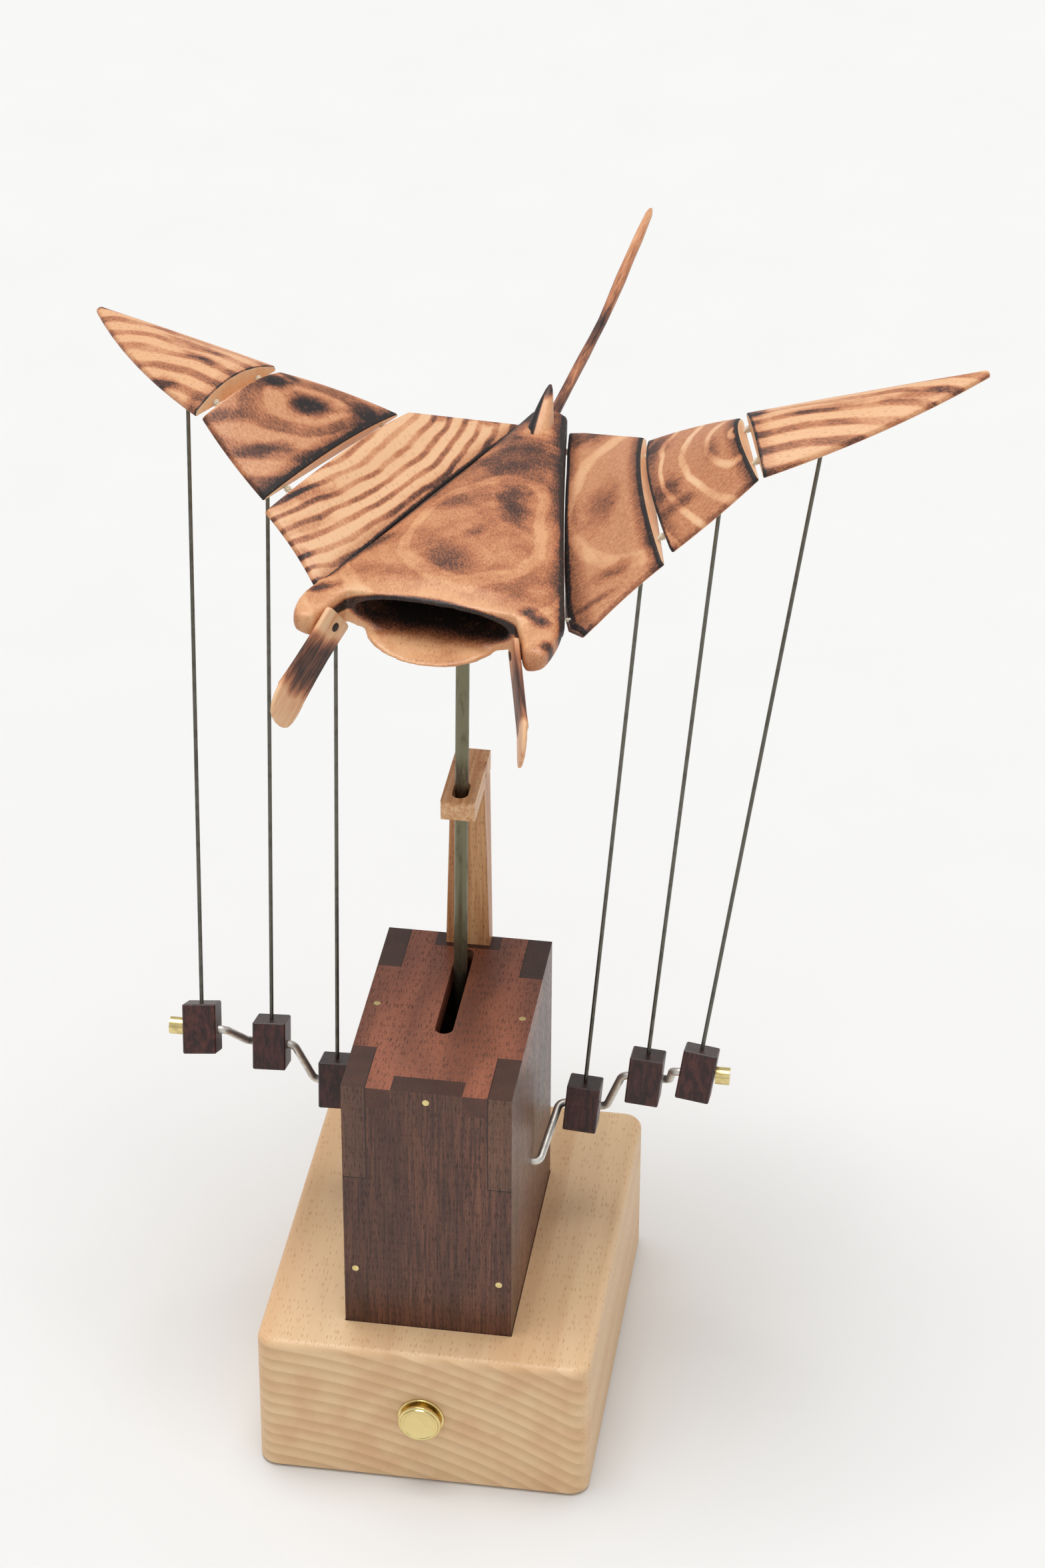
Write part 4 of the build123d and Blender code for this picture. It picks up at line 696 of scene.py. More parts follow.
def burnt_body():
    """The body: warm toasted wood, darker to the tail, with black seams and a pale head rim."""
    material, g, shader = new_material("Burnt body")
    flat = g.attribute("flat")
    backwards = g.parts(flat)[1]
    level = g.vector("MULTIPLY", flat, (1.0, 1.0, 0.0))
    around = ring_place(g, level, 0.0, 16.0, 90.0, 0.62)
    rings = g.group("Growth rings", {"Vector": around, "Spacing": 15.0, "Wander": 13.0,
                                     "Wave size": 24.0})
    grain = g.move(flat, rotation=(0, 0, math.radians(80)))
    fibres, dashes = carved_grain(g, grain, 0.45, 2.2, 2.2, 0.40, 0.16)
    light_ring = g.span(g.math("ABSOLUTE", g.math("SUBTRACT", rings.outputs["Soft band"], 0.96)),
                        0.0, 0.16, 1.0, 0.0)
    beyond = g.span(g.vector("LENGTH", around), 6.0, 10.0)
    light_ring = g.math("MULTIPLY", light_ring, beyond)
    burn = g.math("ADD", g.math("MULTIPLY", light_ring, -0.13), 0.40)
    burn = g.math("ADD", burn, g.span(backwards, 10.0, 90.0, 0.0, 0.15))
    cloud = g.noise(level, 0.07, 4.0, 0.6)
    burn = g.math("ADD", burn, g.span(cloud, 0.32, 0.72, -0.08, 0.13))
    burn = g.math("ADD", burn, patches(g, level, BODY_PATCHES))
    ragged = g.centred(g.noise(flat, 0.4, 3.0, 0.6), 0.8)
    for foot, tip, width, front in BODY_EDGES:
        run = Vector(tip) - Vector(foot)
        across = Vector((run.y, -run.x, 0.0)).normalized()
        reach = g.math("SUBTRACT", g.vector("DOT_PRODUCT", level, across),
                       across.dot(Vector((*foot, 0.0))))
        near = g.math("ADD", g.math("ABSOLUTE", reach), ragged)
        seam = g.math("ADD", g.span(near, 0.4 * width, 1.1 * width, 0.75, 0.0),
                      g.span(near, 0.8, 2.4 * width, 0.24, 0.0))
        reached = g.span(backwards, front, front + 6.0)
        burn = g.math("ADD", burn, g.math("MULTIPLY", seam, reached))
    burn = g.math("ADD", burn, g.span(backwards, -22.0, -12.0, -0.14, 0.0))
    foot_reach = g.vector("LENGTH", g.vector("SUBTRACT", level, DORSAL_FOOT))
    burn = g.math("SUBTRACT", burn, g.span(foot_reach, 2.5, 7.0, 0.30, 0.0))
    # Painted shade in the mouth's hollow, added to the burn
    burn = g.math("ADD", burn, g.math("MULTIPLY", g.attribute("painted_mouth_shade", "Fac"), 0.75))
    roughness, height = toasted(g, shader, g.math("MAXIMUM", burn, 0.05), fibres["Fibre"],
                                dashes, (0.95, 0.89, 0.82))
    g.feed(shader.inputs["Roughness"], g.math("SUBTRACT", roughness, 0.08))
    shader.inputs["Specular IOR Level"].default_value = 0.5
    bump(g, shader, height, 0.09 * MM, 0.5)
    return material


def burnt_stick(name, burns):
    """Burn that varies along a stick; burns are (millimetres along, burn) pairs."""
    material, g, shader = new_material(name)
    flat = g.attribute("flat")
    longest = burns[-1][0]
    fibres = g.group("Fibres", {"Vector": flat, "Stretch": 0.10, "Fineness": 1.6}).outputs
    streak = g.centred(fibres["Cloud"], 9.0)
    along = g.math("DIVIDE", g.math("ADD", g.parts(flat)[0], streak), longest)
    ramp = g.ramp(along, [(mm / longest, (value,) * 3) for mm, value in burns])
    stripes = g.noise(g.vector("MULTIPLY", flat, (0.06, 1.0, 1.0)), 0.55, 3.0, 0.6)
    burn = g.math("ADD", ramp, g.centred(stripes, 0.7))
    roughness, height = toasted(g, shader, burn, fibres["Fibre"])
    g.feed(shader.inputs["Roughness"], roughness)
    bump(g, shader, height, 0.10 * MM, 0.6)
    return material


def burnt_dorsal():
    """The dorsal fin's wood, burnt on its left face and at its tip."""
    material, g, shader = new_material("Burnt dorsal fin")
    flat = g.attribute("flat")
    upwards, _, sideways = g.parts(flat)
    fibres = g.group("Fibres", {"Vector": flat, "Stretch": 0.2, "Fineness": 1.6}).outputs
    left = g.span(sideways, -0.9, -0.3, 0.8, 0.0)
    tip = g.span(upwards, 11.5, 14.5, 0.0, 0.6)
    toasted(g, shader, g.math("ADD", 0.24, g.math("MAXIMUM", left, tip)), fibres["Fibre"])
    shader.inputs["Roughness"].default_value = 0.5
    return material


# ---------------------------------------------------------------- meshes
def new_piece(name, points, faces, body, materials):
    """A smooth mesh in the frame's axes from points in millimetres, riding on a body."""
    mesh = bpy.data.meshes.new(name)
    mesh.from_pydata([Vector(p) * MM for p in points], [], faces)
    mesh.validate()
    mesh.update()
    piece = bpy.data.objects.new(name, mesh)
    bpy.context.scene.collection.objects.link(piece)
    for material in materials:
        mesh.materials.append(material)
    mesh.shade_smooth()
    if body:
        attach(piece, body)
    return piece


def store(mesh, name, values):
    """Keep a vector for every corner point of the mesh."""
    attribute = mesh.attributes.new(name, "FLOAT_VECTOR", "POINT")
    attribute.data.foreach_set("vector", np.asarray(values, np.float32).ravel())


def joined_loops(loops, closed_ends=True):
    """Points and faces of a skin over loops that all have the same number of points."""
    count = len(loops[0])
    points = [point for loop in loops for point in loop]
    faces = []
    for row in range(len(loops) - 1):
        for i in range(count):
            j = (i + 1) % count
            faces.append((row * count + i, row * count + j, (row + 1) * count + j,
                          (row + 1) * count + i))
    if closed_ends:
        faces.append(tuple(reversed(range(count))))
        last = (len(loops) - 1) * count
        faces.append(tuple(range(last, last + count)))
    return points, faces


def bowed(first, bow, last, share):
    """A point on the gentle curve between two corners that bows outwards in the middle."""
    run = Vector(last) - Vector(first)
    side = Vector((run.y, -run.x)).normalized()
    return Vector(first) + run * share + side * (4.0 * share * (1.0 - share) * bow)


def crown_at(share, crown, edge):
    """Height of a panel's top above its floor, by share of the chord."""
    return edge + (crown - edge) * (1.0 - (2.0 * share - 1.0) ** 2)


def section_loop(length, crown, edge, inset):
    """One D-shaped section: (distance along the chord, height above the floor)."""
    radius = min(0.8, edge * 0.5)

    def arris(middle, first_angle):
        angles = (math.radians(first_angle + 20 * i) for i in range(1, 6))
        return [(middle + radius * math.cos(a), radius + radius * math.sin(a)) for a in angles]

    points = [(radius + (length - 2 * radius) * i / 16, 0.0) for i in range(17)]
    points += arris(length - radius, -90)
    for i in range(33):
        share = 0.985 - 0.97 * i / 32
        points.append((length * share, crown_at(share, crown, edge)))
    points += arris(radius, 150)
    if not inset:
        return points
    moved = []
    count = len(points)
    for i, (x, z) in enumerate(points):
        before, after = points[i - 1], points[(i + 1) % count]
        dx, dz = after[0] - before[0], after[1] - before[1]
        size = math.hypot(dx, dz) or 1.0
        limit = min(inset, 0.42 * edge, 0.3 * length)
        moved.append((x - dz / size * limit, z + dx / size * limit))
    return moved


def rim_lean(side, at, depth):
    """How far an inner panel's rim reaches towards the body, by chord share and depth."""
    reach = max(0.0, depth) * FOOT_LEAN[side]
    if side == "right":
        reach += float(np.interp(at, SEAM_SHARES, SEAM_REACH))
    return reach


def panel_stations(span):
    """(share of the span, inset) from the inner end to the outer, with rounded ends."""
    rounding = settings().arris
    near = [(rounding * run / span, rounding * drop) for run, drop in ARRIS]
    middle = [(i / PANEL_STEPS, 0.0) for i in range(1, PANEL_STEPS)]
    return near + middle + [(1.0 - share, drop) for share, drop in reversed(near)]


def wing_panel(side, name):
    """A carved panel with rounded arrises; its end faces stay pale."""
    sign = SIDES[side]
    shape = PANELS[name]
    (front_in, back_in), (front_out, back_out) = shape.get("rim", shape["inner"]), shape["outer"]
    mid_in = (Vector(front_in) + Vector(back_in)) / 2
    span = ((Vector(front_out) + Vector(back_out)) / 2 - mid_in).length
    flats, rims, loops = [], [], []
    for share, inset in panel_stations(span):
        front = bowed(front_in, shape["bow"][0], front_out, share)
        back = bowed(back_in, shape["bow"][1], back_out, share)
        length = (back - front).length
        along = (back - front) / length
        outboard = Vector((along.y, -along.x))
        crown = shape["crown"][0] + (shape["crown"][1] - shape["crown"][0]) * share
        edge = shape["edge"][0] + (shape["edge"][1] - shape["edge"][0]) * share
        crown += 0.25 * math.sin(3.0 * share * math.pi) * min(1.0, length / 30.0)
        near = max(0.0, 1.0 - share / LEAN_SHARE) if name == "inner" else 0.0
        loop = []
        for across, height in section_loop(length, crown, edge, inset):
            flat = front + along * across
            if near:
                depth = crown_at(across / length, crown, edge) - height
                flat -= outboard * (rim_lean(side, across / length, depth) * near)
            local = Vector((sign * flat.x, flat.y, PANEL_FLOOR + height))
            loop.append(tuple(WINGS[side][name] @ local))
            flats.append((flat.x, flat.y, height))
            rims.append((share * span, (1.0 - share) * span, min(across, length - across)))
        loops.append(loop)
    points, faces = joined_loops(loops)
    if sign < 0:
        faces = [tuple(reversed(face)) for face in faces]
    piece = new_piece(f"{side}_{name}_panel", points, faces, f"{side}_{name}_panel",
                      [burnt_panel(side, name), bpy.data.materials["Pale end"],
                                          bpy.data.materials["Dark end"]])
    store(piece.data, "flat", flats)
    store(piece.data, "rims", rims)
    first_end, last_end = len(faces) - 2, len(faces) - 1
    for index, face in enumerate(piece.data.polygons):
        row = index // len(loops[0])
        at_inner = index == first_end or row < 1
        if at_inner or index == last_end or row >= len(loops) - 2:
            face.material_index = 2 if at_inner and name == "inner" else 1
    mark_flat(piece.data, (first_end, last_end))
    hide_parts(f"{side}_wing_{name}")


def mark_flat(mesh, faces):
    """Shade some faces flat."""
    for index in faces:
        mesh.polygons[index].use_smooth = False


def evaluated_copy(node, modifiers):
    """A mesh made from a CAD node's shape after some modifiers; the node stays as it is."""
    helper = bpy.data.objects.new("helper", NODES[node].data.copy())
    bpy.context.scene.collection.objects.link(helper)
    for kind, facts in modifiers:
        modifier = helper.modifiers.new(kind, kind)
        for key, value in facts.items():
            setattr(modifier, key, value)
    graph = bpy.context.evaluated_depsgraph_get()
    mesh = bpy.data.meshes.new_from_object(helper.evaluated_get(graph))
    bpy.data.objects.remove(helper)
    return mesh


def local_places(mesh):
    """Every corner point of the mesh in the manta's plane, in millimetres."""
    place = np.empty(len(mesh.vertices) * 3, np.float32)
    mesh.vertices.foreach_get("co", place)
    back = np.array(MANTA.inverted())
    return (place.reshape(-1, 3) / MM) @ back[:3, :3].T + back[:3, 3]


def round_lobes(mesh):
    """Round off the two lobes at the sides of the head."""
    local = local_places(mesh)
    outward = np.abs(local[:, 0] - SKEW_X)
    chosen = (local[:, 1] < LOBE_FRONT) & (outward > LOBE_OUT)
    shape = bmesh.new()
    shape.from_mesh(mesh)
    shape.verts.ensure_lookup_table()
    lobes = [shape.verts[i] for i in np.flatnonzero(chosen)]
    for _ in range(LOBE_PASSES):
        bmesh.ops.smooth_vert(shape, verts=lobes, factor=0.5, use_axis_x=True, use_axis_y=True,
                              use_axis_z=True)
    shape.to_mesh(mesh)
    shape.free()


def body_mesh():
    """The carved body: the CAD shape with its arrises worn round and fine tool marks."""
    mesh = evaluated_copy("manta_body", [
        ("REMESH", {"mode": "VOXEL", "voxel_size": 0.55 * MM}),
        ("SMOOTH", {"factor": 0.5, "iterations": 14}),
    ])
    mesh.name = "manta_body_carved"
    mesh.shade_smooth()
    round_lobes(mesh)
    local = local_places(mesh)
    store(mesh, "flat", local)
    x, y = (local[:, 0] - SKEW_X), local[:, 1]
    stations, widths, heights, middles = zip(*MOUTH_RINGS)
    wide, high, middle = (np.interp(y, stations, sizes) for sizes in (widths, heights, middles))
    # Painted shade: a mask of the mouth's hollow, reaching higher under the upper lip, that the
    # body's material adds to the burn
    hollow = np.sqrt((x / (wide + 0.7)) ** 2 + ((local[:, 2] - middle) / (high + 0.5)) ** 2)
    reach = np.where(local[:, 2] > middle, 1.22, 1.06)
    painted_mouth_shade = np.clip((reach - hollow) / 0.08, 0.0, 1.0) * (y < MOUTH_BACK)
    painted_mouth_shade *= np.clip((y + 27.0 + 1.8 * (local[:, 2] + 6.0)) / 12.0, 0.0, 1.0)
    attribute = mesh.attributes.new("painted_mouth_shade", "FLOAT", "POINT")
    attribute.data.foreach_set("value", painted_mouth_shade.astype(np.float32))
    mesh.materials.clear()
    mesh.materials.append(burnt_body())
    piece = bpy.data.objects.new("manta_body_carved", mesh)
    bpy.context.scene.collection.objects.link(piece)
    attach(piece, "ray")
    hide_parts("manta_body")


def lofted(name, stations, body, material, power=2.6, points_round=28):
    """A stick lofted from (centre, half-width vector, half-thickness vector) stations."""
    loops, flats = [], []
    travelled, previous = 0.0, stations[0][0]
    for centre, half_width, half_thick in stations:
        travelled += (centre - previous).length
        previous = centre
        loop = []
        for i in range(points_round):
            angle = 2.0 * math.pi * i / points_round
            c, s = math.cos(angle), math.sin(angle)
            u = math.copysign(abs(c) ** (2.0 / power), c)
            v = math.copysign(abs(s) ** (2.0 / power), s)
            loop.append(tuple(centre + half_width * u + half_thick * v))
            flats.append((travelled, u * half_width.length, v * half_thick.length))
        loops.append(loop)
    points, faces = joined_loops(loops)
    piece = new_piece(name, points, faces, body, [material])
    store(piece.data, "flat", flats)
    fix_normals(piece.data)
    return piece


def fix_normals(mesh):
    """Turn the faces outwards when the mesh's volume comes out negative."""
    total = 0.0
    for face in mesh.polygons:
        total += face.center.dot(face.normal) * face.area
    if total < 0.0:
        mesh.flip_normals()


def fin_axes(side):
    """A head fin's pin, and its directions along, inwards and across."""
    sign = SIDES[side]
    turned = MANTA.to_3x3()
    splay, droop = math.radians(FIN_SPLAY), math.radians(FIN_DROOP)
    forward = Vector((sign * math.sin(splay), -math.cos(splay), 0.0))
    along = forward * math.cos(droop) + Vector((0.0, 0.0, -math.sin(droop)))
    inward = Vector((-sign * math.cos(splay), -math.sin(splay), 0.0))
    pin = MANTA @ Vector((SKEW_X + sign * FIN_PIN[0], FIN_PIN[1], FIN_PIN[2]))
    along, inward = turned @ along, turned @ inward
    return pin, along, inward, along.cross(inward)


def head_fin(side):
    """A carved paddle on its pin: square top, dark shaft, kink and rounded pale tip."""
    pin, along, inward, across = fin_axes(side)
    middle = pin - inward * (FIN_T / 2)
    stations = []
    for place, width, thick, bend in FIN_PROFILE:
        centre = middle + along * place + inward * bend
        stations.append((centre, across * width, inward * (FIN_T / 2 * thick)))
    piece = lofted(f"{side}_head_fin_carved", stations, f"{side}_fin",
                   burnt_stick(f"Burnt {side} fin", FIN_BURNS[side]), 3.6, 36)
    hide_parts(f"{side}_head_fin")
    cap = [(pin + inward * proud, across * radius, along * radius) for proud, radius in PIN_CAP]
    lofted(f"{side}_fin_pin_cap", cap, f"{side}_fin",
           bpy.data.materials["Burnt pin"], 2.0)


def dorsal_fin():
    """A claw-shaped fin on the body's back, with a burnt tip."""
    turned = MANTA.to_3x3()
    stations = []
    for y, z, chord, thick in DORSAL_PROFILE:
        stations.append((MANTA @ Vector((0.0, y, z)), turned @ Vector((0.0, chord, 0.0)),
                         turned @ Vector((thick, 0.0, 0.0))))
    piece = lofted("dorsal_fin_carved", stations, "ray", burnt_dorsal(), 2.4)
    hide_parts("dorsal_fin")


def tail():
    """The tapered, slightly kinked tail with whittled facets."""
    turned = MANTA.to_3x3()
    stations = []
    for i, (y, z, radius) in enumerate(TAIL_LINE):
        stations.append((MANTA @ Vector((0.0, y, z)),
                         turned @ Vector((radius * TAIL_FACETS[i % 2], 0.0, 0.0)),
                         turned @ Vector((0.0, 0.0, radius))))
    piece = lofted("tail_carved", stations, "ray",
                   burnt_stick("Burnt tail", TAIL_BURNS), 2.3, 14)
    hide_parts("tail")


# ---------------------------------------------------------------- cord ties
def tie_shares(panel):
    """Where the two ties cross a hinge line, as shares of its length."""
    length = (Vector(panel["inner"][1]) - Vector(panel["inner"][0])).length
    share = min(TIE_SHARE, TIE_INSET / length)
    return share, 1.0 - share


def tie_point(plane, sign, panel, share, reach, depth):
    """A point beside a hinge line: its share of the line, how far outboard and how deep."""
    front, back = (Vector((sign * x, y, 0.0)) for x, y in panel["inner"])
    line = (back - front).normalized()
    outboard = line.cross(Vector((0.0, 0.0, 1.0))) * sign
    sunk = Vector((0.0, 0.0, -depth))
    return plane @ (front + (back - front) * share + outboard * reach + sunk)


def strand_loops(path, phase):
    """Rings of one of a cord's strands round a path, with a knot near its middle."""
    along = (path[-1] - path[0]).normalized()
    side_way = along.cross(Vector((0.0, 0.0, 1.0))).normalized()
    up = side_way.cross(along)
    loops = []
    for i, point in enumerate(path):
        twist = 2.0 * math.pi * (phase + i * STRAND_TWIST)
        knot = math.exp(-((i - TIE_STEPS + 1.0) / KNOT_REACH) ** 2)
        size = STRAND_R * (1.0 + KNOT_SWELL * knot)
        centre = point + side_way * (size * math.cos(twist)) + up * (size * math.sin(twist))
        angles = (2.0 * math.pi * j / STRAND_SIDES for j in range(STRAND_SIDES))
        loops.append([tuple(centre + side_way * (size * math.cos(a)) + up * (size * math.sin(a)))
                      for a in angles])
    return loops


def hinge_ties(side, index, replaced):
    """Two twisted cord ties across one hinge, bending between its two panels."""
    sign = SIDES[side]
    names = list(PANELS)
    panel = PANELS[names[index]]
    plane = WINGS[side][names[index - 1]] if index else MANTA
    outer_plane = WINGS[side][names[index]]
    depth, end_depth = TIE_DEPTHS if index else BODY_TIE_DEPTHS
    points, faces = [], []
    for share in tie_shares(panel):
        start = tie_point(plane, sign, panel, share, TIE_START, depth)
        bend = tie_point(plane, sign, panel, share, TIE_BEND, depth)
        end = tie_point(outer_plane, sign, panel, share, TIE_END, end_depth)
        path = [start.lerp(bend, i / TIE_STEPS) for i in range(TIE_STEPS)]
        path += [bend.lerp(end, i / TIE_STEPS) for i in range(TIE_STEPS + 1)]
        for strand in range(STRANDS):
            fresh, skin = joined_loops(strand_loops(path, strand / STRANDS))
            faces += [tuple(len(points) + i for i in face) for face in skin]
            points += fresh
    piece = new_piece(f"{side}_{names[index]}_hinge_cords", points, faces, None,
                      [bpy.data.materials["Cord"]])
    fix_normals(piece.data)
    start = tie_point(plane, sign, panel, 0.5, BLEND_START, depth) * MM
    end = tie_point(outer_plane, sign, panel, 0.5, BLEND_END, end_depth) * MM
    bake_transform(piece)
    if replaced:
        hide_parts(replaced)


# ---------------------------------------------------------------- operators
def paint(node, material):
    """Give a CAD node one material."""
    data = NODES[node].data
    data.materials.clear()
    data.materials.append(material)


def soften(node, width, segments=3):
    """Worn arrises on a CAD node."""
    modifier = NODES[node].modifiers.new("Worn arrises", "BEVEL")
    modifier.width = width * MM
    modifier.segments = segments
    modifier.limit_method = "ANGLE"
    modifier.angle_limit = math.radians(40)
    modifier.harden_normals = True


def add_floor():
    """A plain pale floor that runs far out of view."""
    look = settings()
    material, g, shader = new_material("Floor")
    speck = g.noise(own_place(g), 0.02, 3.0, 0.5)
    shade = tuple(0.97 * c for c in look.floor)
    g.feed(shader.inputs["Base Color"], g.mix(speck, look.floor, shade))
    shader.inputs["Roughness"].default_value = 0.9
    corners = ((-1, -1), (1, -1), (1, 1), (-1, 1))
    mesh = bpy.data.meshes.new("floor")
    mesh.from_pydata([(x * FLOOR_REACH, y * FLOOR_REACH, -FLOOR_GAP) for x, y in corners], [],
                     [(0, 1, 2, 3)])
    mesh.materials.append(material)
    floor = bpy.data.objects.new("floor", mesh)
    bpy.context.scene.collection.objects.link(floor)


def add_world():
    """Soft white light from all round; the camera sees a plain pale backdrop."""
    world = bpy.data.worlds.new("Studio")
    world.use_nodes = True
    bpy.context.scene.world = world
    tree = world.node_tree
    back = next(n for n in tree.nodes if n.type == "BACKGROUND")
    back.inputs["Color"].default_value = (1.0, 1.0, 1.0, 1.0)
    g = Graph(tree)
    seen = g.add("ShaderNodeLightPath").outputs["Is Camera Ray"]
    g.feed(back.inputs["Strength"], g.span(seen, 0.0, 1.0, settings().fill, BACKDROP, False))


def add_lamps():
    """Two soft lamps, far away."""
    for name, (place, spread, share) in LAMPS.items():
        lamp = bpy.data.lights.new(name, "SUN")
        lamp.angle = math.radians(spread)
        lamp.energy = settings().key * share
        light = bpy.data.objects.new(name, lamp)
        light.location = place
        light.rotation_euler = (-Vector(place)).to_track_quat("-Z", "Y").to_euler()
        bpy.context.scene.collection.objects.link(light)


def add_camera():
    """The camera at the photograph's place, angle and lens."""
    data = bpy.data.cameras.new("Camera")
    data.sensor_width = CAMERA_SENSOR
    data.lens = CAMERA_LENS
    camera = bpy.data.objects.new("Camera", data)
    bpy.context.scene.collection.objects.link(camera)
    yaw, pitch, roll = (math.radians(a) for a in (CAMERA_YAW, CAMERA_PITCH, CAMERA_ROLL))
    forward = Vector((math.sin(yaw) * math.cos(pitch), math.cos(yaw) * math.cos(pitch),
                      -math.sin(pitch)))
    level = Vector((math.cos(yaw), -math.sin(yaw), 0.0))
    upright = level.cross(forward)
    right = level * math.cos(roll) + upright * math.sin(roll)
    up = upright * math.cos(roll) - level * math.sin(roll)
    columns = Matrix((right, up, -forward)).transposed().to_4x4()
    columns.translation = Vector(CAMERA_PLACE)
    camera.matrix_world = columns
    bpy.context.scene.camera = camera


class AUTOMATON_OT_stage(bpy.types.Operator):
    """Set up the floor, the lights and the camera"""
    bl_idname = "automaton.stage"
    bl_label = "Stage"

    def execute(self, context):
        context.scene.view_settings.view_transform = "Standard"
        add_floor()
        add_world()
        add_lamps()
        add_camera()
        return {"FINISHED"}


def turned(name, profile, body, node, material):
    """A brass part turned about the button's axis; profile is (radius, proud of the base)."""
    x, y, z = BUTTON_SEAT
    angles = [2.0 * math.pi * i / TURNED_SIDES for i in range(TURNED_SIDES)]
    loops = [[(x + radius * math.cos(a), y - proud, z + radius * math.sin(a)) for a in angles]
             for radius, proud in profile]
    points, faces = joined_loops(loops, closed_ends=profile[0] != profile[-1])
    piece = new_piece(name, points, faces, body, [material])
    fix_normals(piece.data)
    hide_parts(node)


class AUTOMATON_OT_base(bpy.types.Operator):
    """Finish the base, its cover, the cells and the push switch"""
    bl_idname = "automaton.base"
    bl_label = "Base"

    def execute(self, context):
        look = settings()
        paint("base_block", beech("Beech"))
        paint("base_cover", beech("Beech cover", "X", (60.0, 90.0, 40.0)))
        brass = metal("Brass", look.brass, srgb(150, 125, 70), 0.24, 0.10)
        for node in ("base_cover_screws", "box_dowels", "crank_end_collars", "motor_screws"):
            paint(node, brass)
        polished = metal("Button brass", look.brass, srgb(190, 170, 95), 0.20, 0.02, (1, 1, 1),
                         0.12)
        turned("turned_button", BUTTON_TURNED, "button", "switch_button", polished)
        turned("turned_collar", COLLAR_TURNED, "base", "switch_collar", brass)
        black = plastic("Black plastic", srgb(24, 24, 25), srgb(34, 34, 35), 0.5)
        paint("switch_body", black)
        paint("battery_tray", black)
        paint("battery_cells", plastic("Cell film", srgb(70, 92, 84), srgb(60, 80, 74), 0.25, 0.1))
        paint("inner_leads", plastic("Lead cover", srgb(130, 35, 30), srgb(110, 28, 24), 0.4))
        return {"FINISHED"}


class AUTOMATON_OT_gearbox(bpy.types.Operator):
    """Finish the walnut box and its guide post"""
    bl_idname = "automaton.gearbox"
    bl_label = "Gearbox"

    def execute(self, context):
        look = settings()
        # Painted light: the front, back and side boards take low tones, painted shade, and the upper
        # sides a greyish brown that is painted sheen and shade; only the top is the lit red walnut
        front = walnut("Walnut front in painted shade", "Z", 0.06)
        upper = walnut("Walnut sides in painted sheen and shade", "Z", 0.04, look.walnut_side)
        lower = walnut("Walnut lower sides in painted shade", "Z", 0.22)
        boards = {"box_top": walnut("Walnut top", "Y", 1.0), "box_front": front,
                  "box_back": front, "box_left_upper": upper, "box_right_upper": upper,
                  "box_left_lower": lower, "box_right_lower": lower}
        for node, material in boards.items():
            paint(node, material)
            soften(node, 0.28, 2)
        paint("guide_post", plain_wood("Post wood", "Z", look.post, look.post_dark,
                                       srgb(110, 60, 38)))
        paint("guide_arm", plain_wood("Arm wood", "Y", srgb(232, 190, 145), srgb(205, 150, 100),
                                      srgb(140, 90, 60)))
        soften("guide_arm", 0.5)
        soften("guide_post", 0.35)
        return {"FINISHED"}


class AUTOMATON_OT_drive(bpy.types.Operator):
    """Finish the motor, the gears, the crankshaft and all rods"""
    bl_idname = "automaton.drive"
    bl_label = "Drive"

    def execute(self, context):
        look = settings()
        bright = metal("Bright wire", look.wire, srgb(130, 127, 120), 0.42, 0.10, (0.2, 1, 1))
        paint("crankshaft", bright)
        paint("guide_pin", bright)
        rods = metal("Push rod steel", look.push_rod, srgb(60, 58, 52), 0.38, 0.10, (1, 1, 0.1))
        dark = plain_wood("Dark hardwood", "Z", look.block, look.block_dark, srgb(20, 10, 10),
                          0.5)
        for side in SIDES:
            for index in (1, 2, 3):
                paint(f"push_rod_{side}_{index}", rods)
                paint(f"rod_block_{side}_{index}", dark)
                soften(f"rod_block_{side}_{index}", 0.15, 2)
        paint("centre_rod_block", dark)
        paint("centre_rod", centre_rod_steel())
        plate = metal("Motor plate", srgb(170, 170, 172), srgb(130, 130, 130), 0.35)
        paint("motor_gearbox", plate)
        paint("motor_bracket", plate)
        paint("motor_can", metal("Motor can", srgb(190, 190, 192), srgb(150, 150, 150), 0.28))
        nylon = plastic("Gear nylon", srgb(226, 220, 202), srgb(214, 206, 186), 0.5)
        paint("crank_gear", nylon)
        paint("motor_pinion", nylon)
        return {"FINISHED"}


class AUTOMATON_OT_ray(bpy.types.Operator):
    """Build the carved body, the fins and the tail"""
    bl_idname = "automaton.ray"
    bl_label = "Manta ray"

    def execute(self, context):
        paint("head_fin_pins", plastic("Burnt pin", srgb(30, 20, 15), srgb(45, 30, 22), 0.6))
        body_mesh()
        for side in SIDES:
            head_fin(side)
        dorsal_fin()
        tail()
        return {"FINISHED"}


class AUTOMATON_OT_wings(bpy.types.Operator):
    """Build the six wing panels and their cord hinges"""
    bl_idname = "automaton.wings"
    bl_label = "Wings"

    def execute(self, context):
        end_face("Pale end", 0.02)
        end_face("Dark end", 0.62)
        cord()
        for side in SIDES:
            for index, name in enumerate(PANELS):
                wing_panel(side, name)
                node = f"{side}_{name}_hinge_ties" if index else None
                if side == "left" and not index:
                    node = "body_hinge_ties"
                hinge_ties(side, index, node)
        return {"FINISHED"}


class AutomatonLook(bpy.types.PropertyGroup):
    """Sizes and colours of the automaton that a user would change."""
    key: FloatProperty(name="Key light", description="Strength of the key light",
                       default=2.1, min=0.0)
    fill: FloatProperty(name="Fill light", description="Strength of the light from all round",
                        default=0.55, min=0.0)
    arris: FloatProperty(name="Arris", description="Rounding of the panels' ends, millimetres",
                         default=0.55, min=0.05, max=1.5)


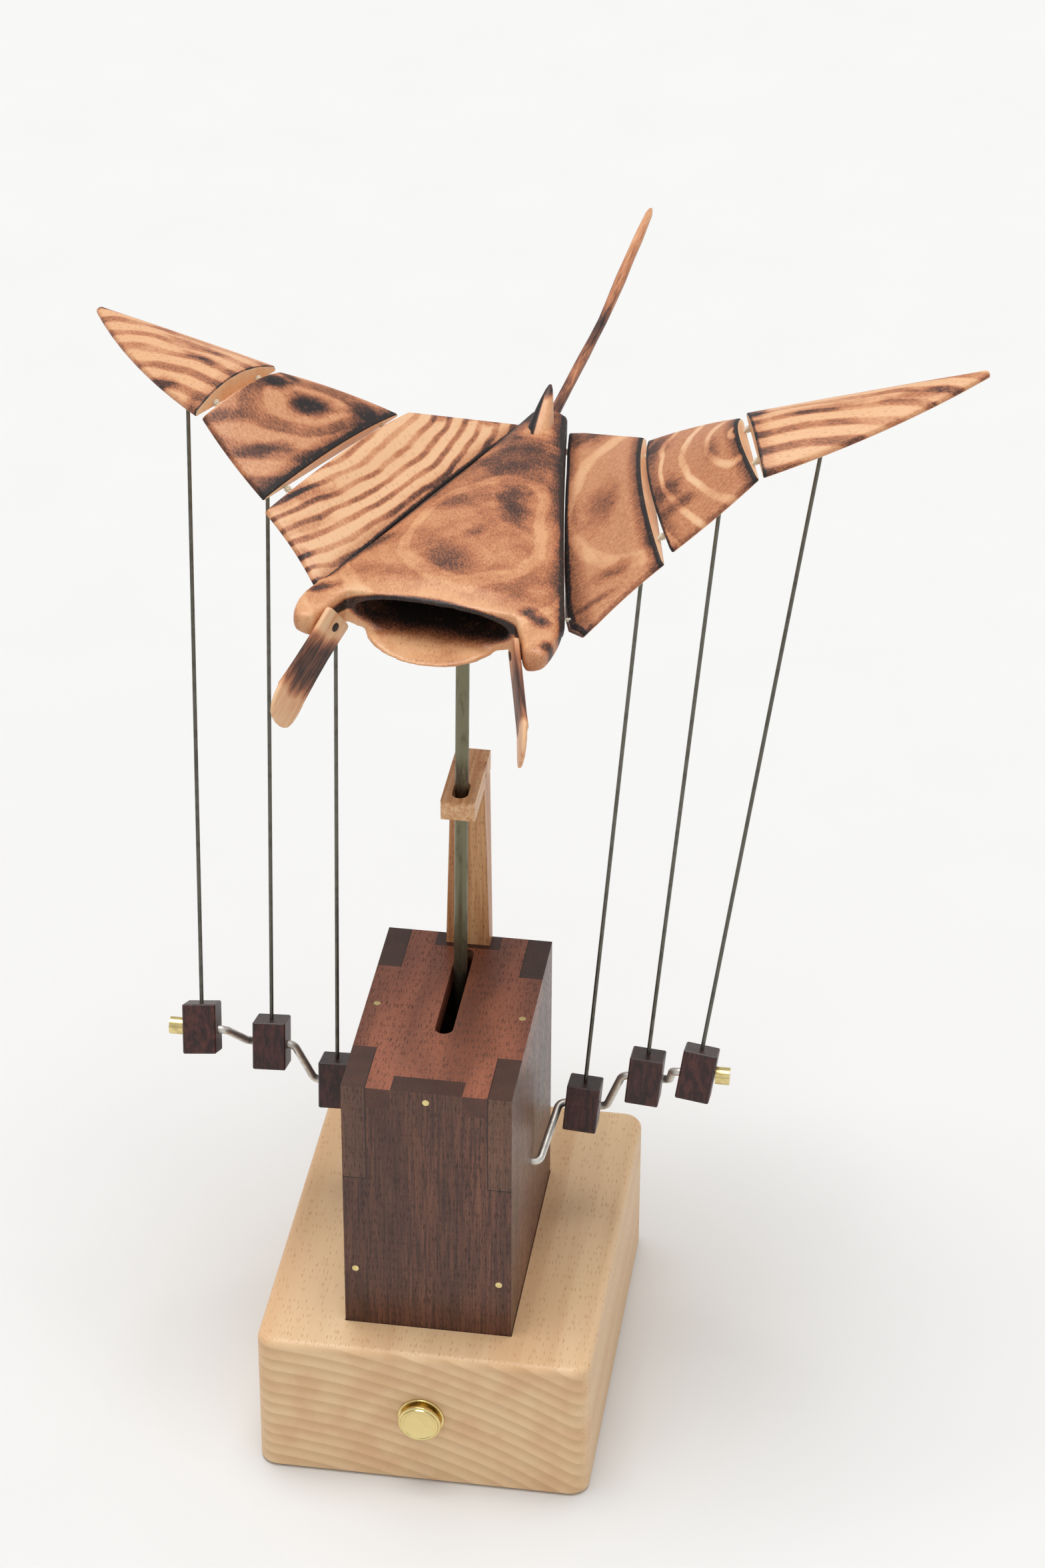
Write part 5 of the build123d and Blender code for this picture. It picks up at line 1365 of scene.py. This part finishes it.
COLOURS = {
    "floor": ((226, 226, 225), "Floor"),
    "beech": ((233, 200, 158), "Beech, light"),
    "beech_rosy": ((223, 182, 138), "Beech, rosy"),
    "beech_ring": ((176, 132, 88), "Beech, ring"),
    "beech_fleck": ((186, 130, 90), "Beech, fleck"),
    "walnut_deep": ((58, 36, 30), "Walnut, deep"),
    "walnut_red": ((152, 89, 66), "Walnut, red"),
    "walnut_light": ((160, 103, 78), "Walnut, light streak"),
    # painted sheen and shade: the greyish brown of the upper side boards
    "walnut_side": ((92, 68, 54), "Walnut, side boards, painted sheen and shade"),
    "walnut_pore": ((40, 24, 20), "Walnut, pores"),
    "post": ((226, 178, 128), "Post, light"),
    "post_dark": ((184, 122, 78), "Post, dark"),
    "block": ((84, 44, 38), "Blocks, light streak"),
    "block_dark": ((42, 22, 20), "Blocks, dark"),
    "pale_wood": ((236, 200, 160), "Carved wood, unburnt"),
    "warm_wood": ((224, 170, 126), "Carved wood, warm"),
    "toasted_wood": ((184, 118, 80), "Carved wood, toasted"),
    "brown_wood": ((106, 63, 45), "Carved wood, brown"),
    "char": ((30, 22, 20), "Carved wood, char"),
    "fleck": ((150, 95, 62), "Carved wood, fleck"),
    "brass": ((232, 212, 150), "Brass"),
    "wire": ((224, 222, 216), "Crank wire"),
    "push_rod": ((112, 110, 100), "Push rods"),
    "rod": ((120, 116, 92), "Centre rod"),
    "cord": ((236, 230, 214), "Cord"),
}
for key, (value, label) in COLOURS.items():
    AutomatonLook.__annotations__[key] = FloatVectorProperty(
        name=label, description=f"Colour: {label.lower()}", subtype="COLOR", size=3,
        min=0.0, max=1.0, default=srgb(*value))


class AUTOMATON_PT_panel(bpy.types.Panel):
    """Sidebar panel with the automaton's steps and looks"""
    bl_label = "Automaton"
    bl_idname = "AUTOMATON_PT_panel"
    bl_space_type = "VIEW_3D"
    bl_region_type = "UI"
    bl_category = "Automaton"

    def draw(self, context):
        for step in STEPS:
            self.layout.operator(step.bl_idname)
        for name in AutomatonLook.__annotations__:
            self.layout.prop(context.scene.automaton, name)


STEPS = (AUTOMATON_OT_stage, AUTOMATON_OT_base, AUTOMATON_OT_gearbox, AUTOMATON_OT_drive,
         AUTOMATON_OT_ray, AUTOMATON_OT_wings)
CLASSES = (AutomatonLook, *STEPS, AUTOMATON_PT_panel)


def register():
    for item in CLASSES:
        bpy.utils.register_class(item)
    bpy.types.Scene.automaton = PointerProperty(type=AutomatonLook)


def unregister():
    del bpy.types.Scene.automaton
    for item in reversed(CLASSES):
        bpy.utils.unregister_class(item)


def main():
    register()
    make_groups()
    bpy.ops.automaton.stage()
    bpy.ops.automaton.base()
    bpy.ops.automaton.gearbox()
    bpy.ops.automaton.drive()
    bpy.ops.automaton.ray()
    bpy.ops.automaton.wings()


if __name__ == "__main__":
    main()
